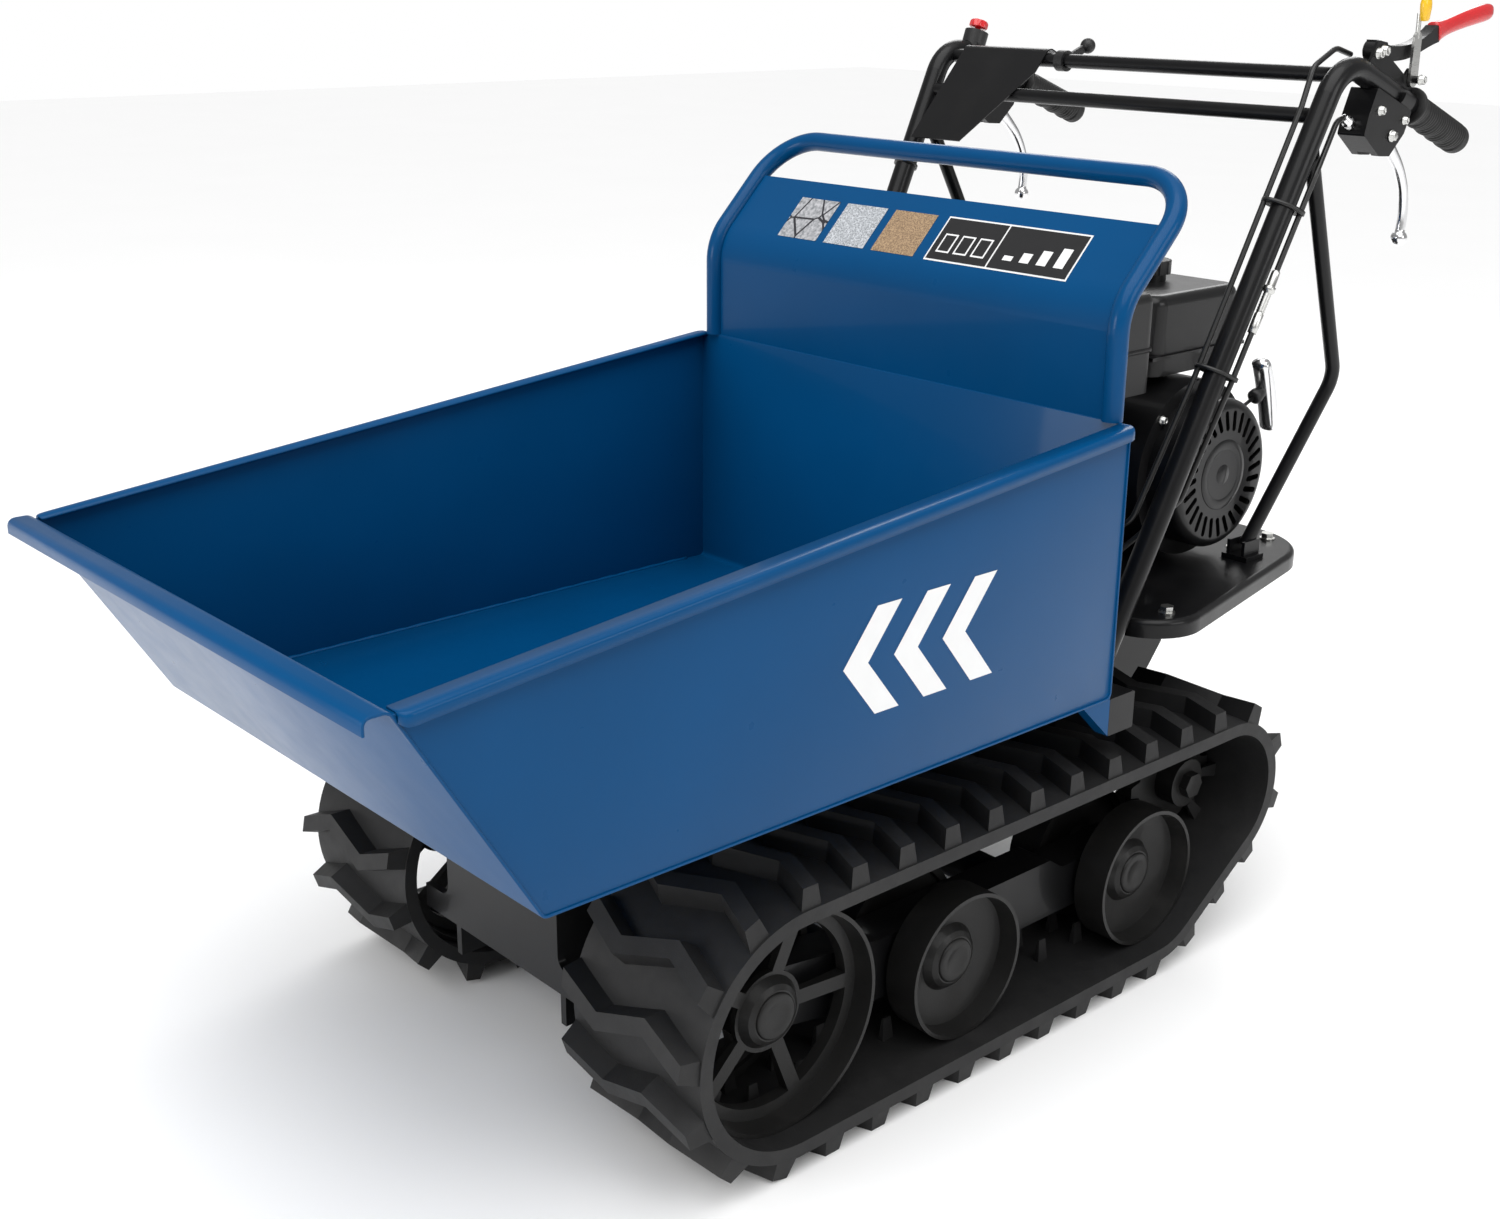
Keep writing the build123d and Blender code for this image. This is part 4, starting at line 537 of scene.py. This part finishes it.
def buildLockKnob(k):
    low, high = atHand(k["x"], *k["from"]), atHand(k["x"], *k["to"])
    points, sizes = [], []
    for t, grow in ((0.0, 0.55), (0.03, 0.72), (0.12, 0.84), (0.3, 0.90), (0.5, 1.0), (0.68, 1.0),
                    (0.82, 0.9),
                    (0.92, 0.7), (0.98, 0.4), (1.0, 0.08)):
        points.append(low.lerp(high, t))
        sizes.append((k["half"][0] * grow, k["half"][1] * grow))
    knob = makeObject("lockKnob", loft("lockKnob", ovalRings(points, sizes, Vector((1, 0, 0)), 24, 2.6)),
                      "drive_lock", "yellow_plastic")
    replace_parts(knob, "latch_knob")


buildLockKnob(lockKnob)

stopKnob = {"along": 48.0, "seat": 0.0330, "radius": 0.0118, "flutes": 8}


def buildStopKnob(k):
    t = k["along"] / 1000 / gripRun
    origin = Vector((-(handle["knee"][0] + (handle["tip"][0] - handle["knee"][0]) * t), 0, 0)) + atHand(
        0.0, k["along"], 0.0)
    profile = [(-0.006, 0.0039), (0.0, 0.0039), (0.0, 0.0105), (0.0008, 0.0115), (0.0016, 0.0118),
               (0.0068, 0.0116), (0.0084, 0.0108), (0.0093, 0.0094), (0.0095, 0.0074), (0.0090, 0.0064),
               (0.0090, 0.0002)]
    mesh = turned("stopKnob", origin + handUp * k["seat"], handUp, profile, 96,
                  lambda a, x: 1.0 if x < 0.0012 or x > 0.0088 else 0.955 + 0.045 * cos(a * k["flutes"]))
    knob = makeObject("stopKnob", mesh, "stop_button", "red_plastic")
    sharpen(knob, 45)
    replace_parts(knob, "switch_knob")


buildStopKnob(stopKnob)
print("hand controls built")


# small hardware
def hexBolt(name, place, axis, size, body="frame", slotName="steel"):
    a = size / 2
    profile = [(0.0, a * 1.28), (size * 0.10, a * 1.32), (size * 0.119, a * 1.30), (size * 0.13, a * 1.15),
               (size * 0.62, a * 1.15), (size * 0.72, a * 0.98), (size * 0.72, a * 0.6),
               (size * 0.68, a * 0.55),
               (size * 0.68, 0.0003)]
    piece = makeObject(name, turned(name, Vector(place), Vector(axis), profile, 36,
                                    lambda angle, x: 1.0 if x < size * 0.12 else hexShare(angle)), body,
                       slotName)
    sharpen(piece, 28)
    return piece


# a zip tie or clip wrapped around a tube and a cable beside it
def wrapTie(name, centre, axis, halfWide, halfDeep, across, wide=0.0038, thick=0.0012,
            slotName="cable_black"):
    axis = Vector(axis).normalized()
    across = Vector(across)
    across = (across - axis * across.dot(axis)).normalized()
    other = axis.cross(across)
    rings = []
    for along, extra in ((-wide / 2, 0.0), (-wide / 2, thick), (wide / 2, thick), (wide / 2, 0.0)):
        rings.append([Vector(centre) + axis * along + across * ((halfWide + extra) * cos(2 * pi * k / 32))
                      + other * ((halfDeep + extra) * sin(2 * pi * k / 32)) for k in range(32)])
    rings.append(rings[0])
    piece = makeObject(name, loft(name, rings), "frame", slotName)
    sharpen(piece, 35)
    return piece


bar = {"foot": Vector((0.250, 0.1313, 0.334)), "knee": Vector((0.277, 0.4435, 0.961))}


def onBar(side, z):
    t = (z - bar["foot"].z) / (bar["knee"].z - bar["foot"].z)
    p = bar["foot"].lerp(bar["knee"], t)
    return Vector((side * p.x, p.y, p.z))


barAxis = (bar["knee"] - bar["foot"]).normalized()
for side, sideName in ((1, "Left"), (-1, "Right")):
    direction = Vector((side * barAxis.x, barAxis.y, barAxis.z))
    # the left tube carries a cable on either side, the right one only behind it
    half, shift = (0.0226, 0.0) if side > 0 else (0.0180, 0.0049)
    outward = Vector((side * 0.69, 0.72, 0))
    for i, z in enumerate((0.815, 0.650)):
        wrapTie(f"tie{sideName}{i}", onBar(side, z) + outward * shift, direction, half, 0.0137, outward)

adjuster = {"z": (0.690, 0.752), "offset": Vector((0.01395, 0.01380, 0))}


def buildAdjuster(a):
    low, high = onBar(1, a["z"][0]) + a["offset"], onBar(1, a["z"][1]) + a["offset"]
    length = (high - low).length
    r = 0.0034
    profile = [(0.0, r), (0.0, 0.0048), (length * 0.10, 0.0050), (length * 0.30, 0.0050),
               (length * 0.32, 0.0041)]
    for i in range(16):
        at = length * (0.33 + 0.32 * i / 15)
        profile.append((at, 0.0041 + (0.0005 if i % 2 else 0.0)))
    profile += [(length * 0.66, 0.0062), (length * 0.74, 0.0062), (length * 0.75, 0.0046),
                (length * 0.96, 0.0046),
                (length * 0.98, 0.0042), (length, r)]
    piece = makeObject("cableAdjuster", turned("cableAdjuster", low, high - low, profile, 36), "frame",
                       "steel")
    sharpen(piece, 35)


buildAdjuster(adjuster)

for side, sideName in ((1, "Left"), (-1, "Right")):
    # screw ferrule where the steering cable enters the lever's clamp
    start = atHand(side * 0.274, 57.3, -52.1)
    out = (atHand(side * 0.275, 28, -50) - start).normalized()
    profile = [(0.0, 0.0034), (0.0, 0.0058)]
    for i in range(10):
        profile.append((0.001 + 0.0085 * i / 9, 0.0060 + (0.0004 if i % 2 else -0.0002)))
    profile += [(0.0105, 0.0044), (0.019, 0.0044), (0.0196, 0.0034)]
    ferrule = turned("ferrule" + sideName, start, out, profile, 32)
    sharpen(makeObject("ferrule" + sideName, ferrule, "frame", "bright_alloy"), 30)
    hexBolt("clampBolt" + sideName, atHand(side * 0.276 + side * 0.016, 74, -30), (side, 0, 0), 0.008)
    hexBolt("clampNut" + sideName, atHand(side * 0.276 + side * 0.016, 126, -24), (side, 0, 0), 0.007)

hexBolt("bracketBolt", atHand(0.2786, 60, 26), (1, 0, 0), 0.009)
hexBolt("pivotBolt", atHand(0.2790, 67, 31), (1, 0, 0), 0.0095)
hexBolt("lockBolt", atHand(0.2896, 138, 24), (1, 0, 0), 0.0085)

for side, sideName in ((1, "Left"), (-1, "Right")):
    for wheelName, y, z, reach in (("front", -0.3425, 0.145, 0.283), ("middle", -0.0995, 0.1114, 0.283),
                                   ("rear", 0.1895, 0.1114, 0.283)):
        body = {"front": "idler", "middle": "front_roller", "rear": "rear_roller"}[wheelName]
        profile = [(-0.0004, 0.0235), (0.0, 0.0235), (0.0018, 0.0228), (0.0026, 0.0210), (0.0028, 0.0140),
                   (0.0022, 0.0128), (0.0022, 0.0002)]
        cap = turned(f"hubCap{sideName}{wheelName}", Vector((side * reach, y, z)), Vector((side, 0, 0)),
                     profile, 40)
        sharpen(makeObject(f"hubCap{sideName}{wheelName}", cap, f"{body}_{sideName.lower()}",
                           "wheel_black"), 35)
print("hardware built")


# engine details
engine = {"crank": (0.4135, 0.506), "coverOuter": 0.2000, "block": 0.005}


def buildEngineDetails(e):
    cy, cz = e["crank"]
    for i in range(4):
        a = radians(45 + 90 * i)
        hexBolt(f"coverBolt{i}", (0.1582, cy + 0.0925 * cos(a), cz + 0.0925 * sin(a)), (1, 0, 0), 0.008)
    hub = turned("coverHub", Vector((e["coverOuter"] - 0.0004, cy, cz)), Vector((1, 0, 0)),
                 [(0.0, 0.040), (0.0006, 0.0405), (0.0010, 0.0400), (0.0010, 0.030), (0.0002, 0.0285),
                  (0.0002, 0.012), (0.0012, 0.011), (0.0012, 0.0002)], 64)
    sharpen(makeObject("coverHub", hub, "frame", "engine_black"), 35)
    # oil filler at the rear foot of the crankcase
    filler = turned("oilFiller", Vector((0.050, cy + 0.088, 0.452)), Vector((0, 1, 0.35)),
                    [(0.0, 0.014), (0.016, 0.014), (0.016, 0.019), (0.018, 0.020), (0.026, 0.020),
                     (0.028, 0.018),
                     (0.028, 0.0002)], 48, lambda a, x: 1.0 if x < 0.017 else 0.97 + 0.03 * cos(a * 14))
    sharpen(makeObject("oilFiller", filler, "frame", "engine_plastic"), 35)
    # spark plug cap in front of the head
    plug = [Vector((e["block"], 0.238, 0.545)), Vector((e["block"], 0.216, 0.551)),
            Vector((e["block"], 0.205, 0.566)),
            Vector((e["block"] + 0.004, 0.204, 0.584))]
    line = smoothLine(plug, 6)
    sizes = [(0.0098 - 0.0042 * i / (len(line) - 1),) * 2 for i in range(len(line))]
    makeObject("plugCap", loft("plugCap", ovalRings(line, sizes, Vector((1, 0, 0)), 20)), "frame",
               "cable_black")
    # the seam around the air filter box, and its knob
    x0, x1, y0, y1 = 0.002, 0.150, 0.2045, 0.3365
    midX, midY, seamZ = (x0 + x1) / 2, (y0 + y1) / 2, 0.652
    outline = roundCorners([(midX, y0), (x1, y0), (x1, y1), (x0, y1), (x0, y0), (midX, y0)], 0.0165, 8)[:-1]
    rings = []
    for rise, grow in ((-0.0022, 1.0), (-0.0022, 1.018), (0.0022, 1.018), (0.0022, 1.0)):
        rings.append([((p.x - midX) * grow + midX, (p.y - midY) * grow + midY,
                       seamZ + rise) for p in outline])
    sharpen(makeObject("filterSeam", loft("filterSeam", rings), "frame", "engine_plastic"), 35)
    knob = turned("filterKnob", Vector((0.076, 0.2705, 0.7138)), Vector((0, 0, 1)),
                  [(0.0, 0.017), (0.0015, 0.018), (0.0060, 0.0176), (0.0076, 0.0160), (0.0078, 0.0002)], 60,
                  lambda a, x: 0.95 + 0.05 * cos(a * 6))
    sharpen(makeObject("filterKnob", knob, "frame", "engine_plastic"), 40)


buildEngineDetails(engine)

starter = {"pull": 20.0, "x": 0.1769, "origin": (0.4215, 0.552), "exit": 0.078, "half": 0.0475}


def buildStarterHandle(s):
    a = radians(s["pull"])
    axis = Vector((0, cos(a), sin(a)))
    across = Vector((0, -sin(a), cos(a)))
    base = Vector((s["x"], *s["origin"])) + axis * s["exit"]
    neck = [(0.0, 0.0060), (0.002, 0.0086), (0.008, 0.0088), (0.013, 0.0074), (0.017, 0.0070)]
    makeObject("starterNeck", turned("starterNeck", base, axis, neck, 32), "starter_pull", "engine_plastic")
    centre = base + axis * 0.022 - across * 0.008
    points, sizes = [], []
    for i in range(25):
        t = -1 + 2 * i / 24
        points.append(centre + across * (s["half"] * t) + axis * (0.0035 * (1 - t * t)))
        r = 1.0 if abs(t) < 0.86 else max(0.12, (1 - ((abs(t) - 0.86) / 0.14) ** 2) ** 0.5)
        sizes.append((0.0116 * r, (0.0098 - 0.002 * t * t) * r))
    bar = makeObject("starterBar", loft("starterBar", ovalRings(points, sizes, Vector((1, 0, 0)), 24, 2.4)),
                     "starter_pull", "bright_alloy")
    rope = turned("starterRope", base - axis * 0.03, axis, [(0.0, 0.0022), (0.031, 0.0022)], 16)
    makeObject("starterRope", rope, "starter_pull", "cable_black")
    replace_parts(bar, "recoil_handle")


buildStarterHandle(starter)
print("engine details built")


# plain labels on the load guard and the side
guard = {"rear": 0.0785, "knee": 0.745, "slope": atan2(0.110, 0.108), "sheet": 0.001}


# a point on the guard's front face: x, and the distance up its face from the tub's edge
def onGuard(x, up, lift=0.0009):
    bend, turn = 0.060, pi / 2 - guard["slope"]
    tangent = bend * sin(turn / 2) / cos(turn / 2)
    straight = guard["knee"] - tub["rearTop"] - tangent
    if up < straight:
        y, z, lean = guard["rear"], tub["rearTop"] + up, 0.0
    elif up < straight + bend * turn:
        lean = (up - straight) / bend
        y = guard["rear"] + bend * (1 - cos(lean))
        z = guard["knee"] - tangent + bend * sin(lean)
    else:
        lean = turn
        rest = up - straight - bend * turn
        y = guard["rear"] + bend * (1 - cos(turn)) + rest * sin(turn)
        z = guard["knee"] - tangent + bend * sin(turn) + rest * cos(turn)
    out = guard["sheet"] + lift
    return Vector((x, y - out * cos(lean), z + out * sin(lean)))


def guardPatch(name, x0, x1, low, high, material, lift=0.0004):
    rows, points, faces = 8, [], []
    for i in range(rows + 1):
        up = low + (high - low) * i / rows
        for x in (x0, x1):
            points.append(onGuard(x, up, lift))
    for i in range(rows):
        faces.append((i * 2, i * 2 + 1, i * 2 + 3, i * 2 + 2))
    mesh = bpy.data.meshes.new(name)
    mesh.from_pydata([tuple(p) for p in points], [], faces)
    return makeObject(name, mesh, "tub", "tub_blue", material)


def pavingPrint():
    s = Shader("pavingPrint", Specular_IOR_Level=0.5)
    turned45 = s.add("ShaderNodeMapping", {}, {"Vector": s.coords(), "Rotation": (0, 0, 0.7),
                                               "Scale": (30, 30, 30)})
    cells = s.add("ShaderNodeTexVoronoi", {"feature": "DISTANCE_TO_EDGE"},
                  {"Vector": turned45, "Scale": 1.1, "Randomness": 0.35}, "Distance")
    stone = s.ramp(s.noise(260.0, 6.0), [(0.3, (0.16, 0.17, 0.18, 1)), (0.7, (0.5, 0.5, 0.52, 1))])
    s.feed("Base Color", s.blendColors(cells < 0.035, stone, (0.02, 0.02, 0.025, 1)))
    s.feed("Roughness", 0.35 + (s.noise(90.0) - 0.5) * 0.1)
    return s.material


def grainPrint(name, dark, light, scale):
    s = Shader(name, Specular_IOR_Level=0.5)
    cells = s.add("ShaderNodeTexVoronoi", {}, {"Vector": s.coords(), "Scale": scale}, "Distance")
    s.feed("Base Color", s.ramp(cells * 0.6 + s.noise(scale * 1.5, 6.0) * 0.5, [(0.25, dark), (0.75, light)]))
    s.feed("Roughness", 0.35 + (s.noise(90.0) - 0.5) * 0.1)
    return s.material


def plainPrint(name, color):
    s = Shader(name, Specular_IOR_Level=0.5)
    s.feed("Base Color", s.blendColors(s.noise(50.0), tint(color, 0.92), tint(color, 1.0)))
    s.feed("Roughness", 0.32 + (s.noise(120.0) - 0.5) * 0.1)
    return s.material


labels = {"low": 0.126, "high": 0.181}
whitePrint = plainPrint("whitePrint", (0.8, 0.8, 0.8))
blackPrint = plainPrint("blackPrint", (0.012, 0.012, 0.013))
swatches = [("paving", pavingPrint()),
            ("gravel", grainPrint("gravelPrint", (0.10, 0.11, 0.12, 1), (0.55, 0.57, 0.60, 1), 520.0)),
            ("sand", grainPrint("sandPrint", (0.09, 0.05, 0.03, 1), (0.42, 0.29, 0.17, 1), 620.0))]
for i, (name, material) in enumerate(swatches):
    x = -0.200 + i * 0.074
    guardPatch(name + "Swatch", x, x + 0.062, labels["low"], labels["high"], material)
guardPatch("labelEdge", 0.026, 0.216, labels["low"] - 0.001, labels["high"] + 0.001, whitePrint, 0.0003)
guardPatch("labelLeft", 0.028, 0.110, labels["low"] + 0.001, labels["high"] - 0.001, blackPrint, 0.0005)
guardPatch("labelRight", 0.112, 0.214, labels["low"] + 0.001, labels["high"] - 0.001, blackPrint, 0.0005)
for i in range(3):
    x = 0.036 + i * 0.024
    low = labels["low"] + 0.010
    guardPatch(f"labelSack{i}", x, x + 0.018, low, low + 0.024, whitePrint, 0.0007)
    guardPatch(f"labelSackIn{i}", x + 0.002, x + 0.016, low + 0.002, low + 0.022, blackPrint, 0.0009)
for i in range(4):
    x = 0.126 + i * 0.022
    low = labels["low"] + 0.012
    guardPatch(f"labelBar{i}", x, x + 0.012, low, low + 0.006 * (1 + i), whitePrint, 0.0007)


# three plain chevrons on each side of the tub, where a maker's panel would be
sideMark = {"start": -0.30, "low": 0.430, "high": 0.530, "bar": 0.030, "step": 0.062, "lean": 0.040}


def buildSideMark(side, sideName, m):
    x = side * (tub["halfWidth"] + 0.0004)
    points, faces = [], []
    mid = (m["low"] + m["high"]) / 2
    for i in range(3):
        y = m["start"] + i * m["step"]
        base = len(points)
        for dy, z in ((m["lean"], m["low"]), (0.0, mid), (m["lean"], m["high"])):
            points += [(x, y + dy, z), (x, y + dy + m["bar"], z)]
        faces += [(base, base + 1, base + 3, base + 2), (base + 2, base + 3, base + 5, base + 4)]
    mesh = bpy.data.meshes.new("sideMark" + sideName)
    mesh.from_pydata(points, [], [f if side > 0 else f[::-1] for f in faces])
    makeObject("sideMark" + sideName, mesh, "tub", "tub_blue", whitePrint)


buildSideMark(1, "Left", sideMark)
buildSideMark(-1, "Right", sideMark)
print("labels laid")


# floor and light
def buildFloor():
    s = Shader("floorPaper", Specular_IOR_Level=0.3)
    s.feed("Base Color", s.blendColors(s.noise(2.0), shade(0.93), shade(0.95)))
    s.feed("Roughness", 0.6 + (s.noise(30.0) - 0.5) * 0.1)
    mesh = bpy.data.meshes.new("floor")
    mesh.from_pydata([(-14, -14, 0), (14, -14, 0), (14, 14, 0), (-14, 14, 0)], [], [(0, 1, 2, 3)])
    mesh.materials.append(s.material)
    floor = bpy.data.objects.new("floor", mesh)
    bpy.context.scene.collection.objects.link(floor)


buildFloor()


def addArea(name, place, aim, size, power, color=(1, 1, 1)):
    data = bpy.data.lights.new(name, "AREA")
    data.shape, data.size, data.size_y = "RECTANGLE", size[0], size[1]
    data.energy, data.color = power, color
    lamp = bpy.data.objects.new(name, data)
    lamp.location = place
    lamp.rotation_euler = (Vector(aim) - Vector(place)).to_track_quat("-Z", "Y").to_euler()
    bpy.context.scene.collection.objects.link(lamp)


lights = [("overhead", (0.6, 0.2, 3.6), (0.1, 0, 0.3), (3.6, 3.6), 28),
          ("frontKey", (-0.6, -3.6, 1.2), (0, -0.4, 0.4), (1.6, 1.2), 40),
          ("sideFill", (3.6, 0.9, 1.9), (0, 0.2, 0.4), (1.8, 1.4), 30),
          ("rearEdge", (-1.8, 2.8, 2.4), (0, 0.2, 0.6), (2.0, 1.4), 30)]
for light in lights:
    addArea(*light)

# a broad soft sun keeps the floor evenly white out to the horizon
sun = {"energy": 2.5, "softness": 70, "from": (0.25, -0.35, 1.0)}


def addSun(s):
    data = bpy.data.lights.new("softSun", "SUN")
    data.energy, data.angle = s["energy"], radians(s["softness"])
    lamp = bpy.data.objects.new("softSun", data)
    lamp.rotation_euler = Vector(s["from"]).to_track_quat("Z", "Y").to_euler()
    bpy.context.scene.collection.objects.link(lamp)


addSun(sun)


# the backdrop is white where it is seen, and dimmer where it only lights the machine
def addWorld(seen, lit):
    world = bpy.data.worlds.new("studio")
    world.use_nodes = True
    tree = world.node_tree
    path, strength = tree.nodes.new("ShaderNodeLightPath"), tree.nodes.new("ShaderNodeMapRange")
    tree.links.new(path.outputs["Is Camera Ray"], strength.inputs["Value"])
    strength.inputs["To Min"].default_value, strength.inputs["To Max"].default_value = lit, seen
    background = tree.nodes["Background"]
    background.inputs["Color"].default_value = (1, 1, 1, 1)
    tree.links.new(strength.outputs["Result"], background.inputs["Strength"])
    bpy.context.scene.world = world


addWorld(1.0, 0.36)
bpy.context.scene.view_settings.view_transform = "Standard"
print("floor and light set")
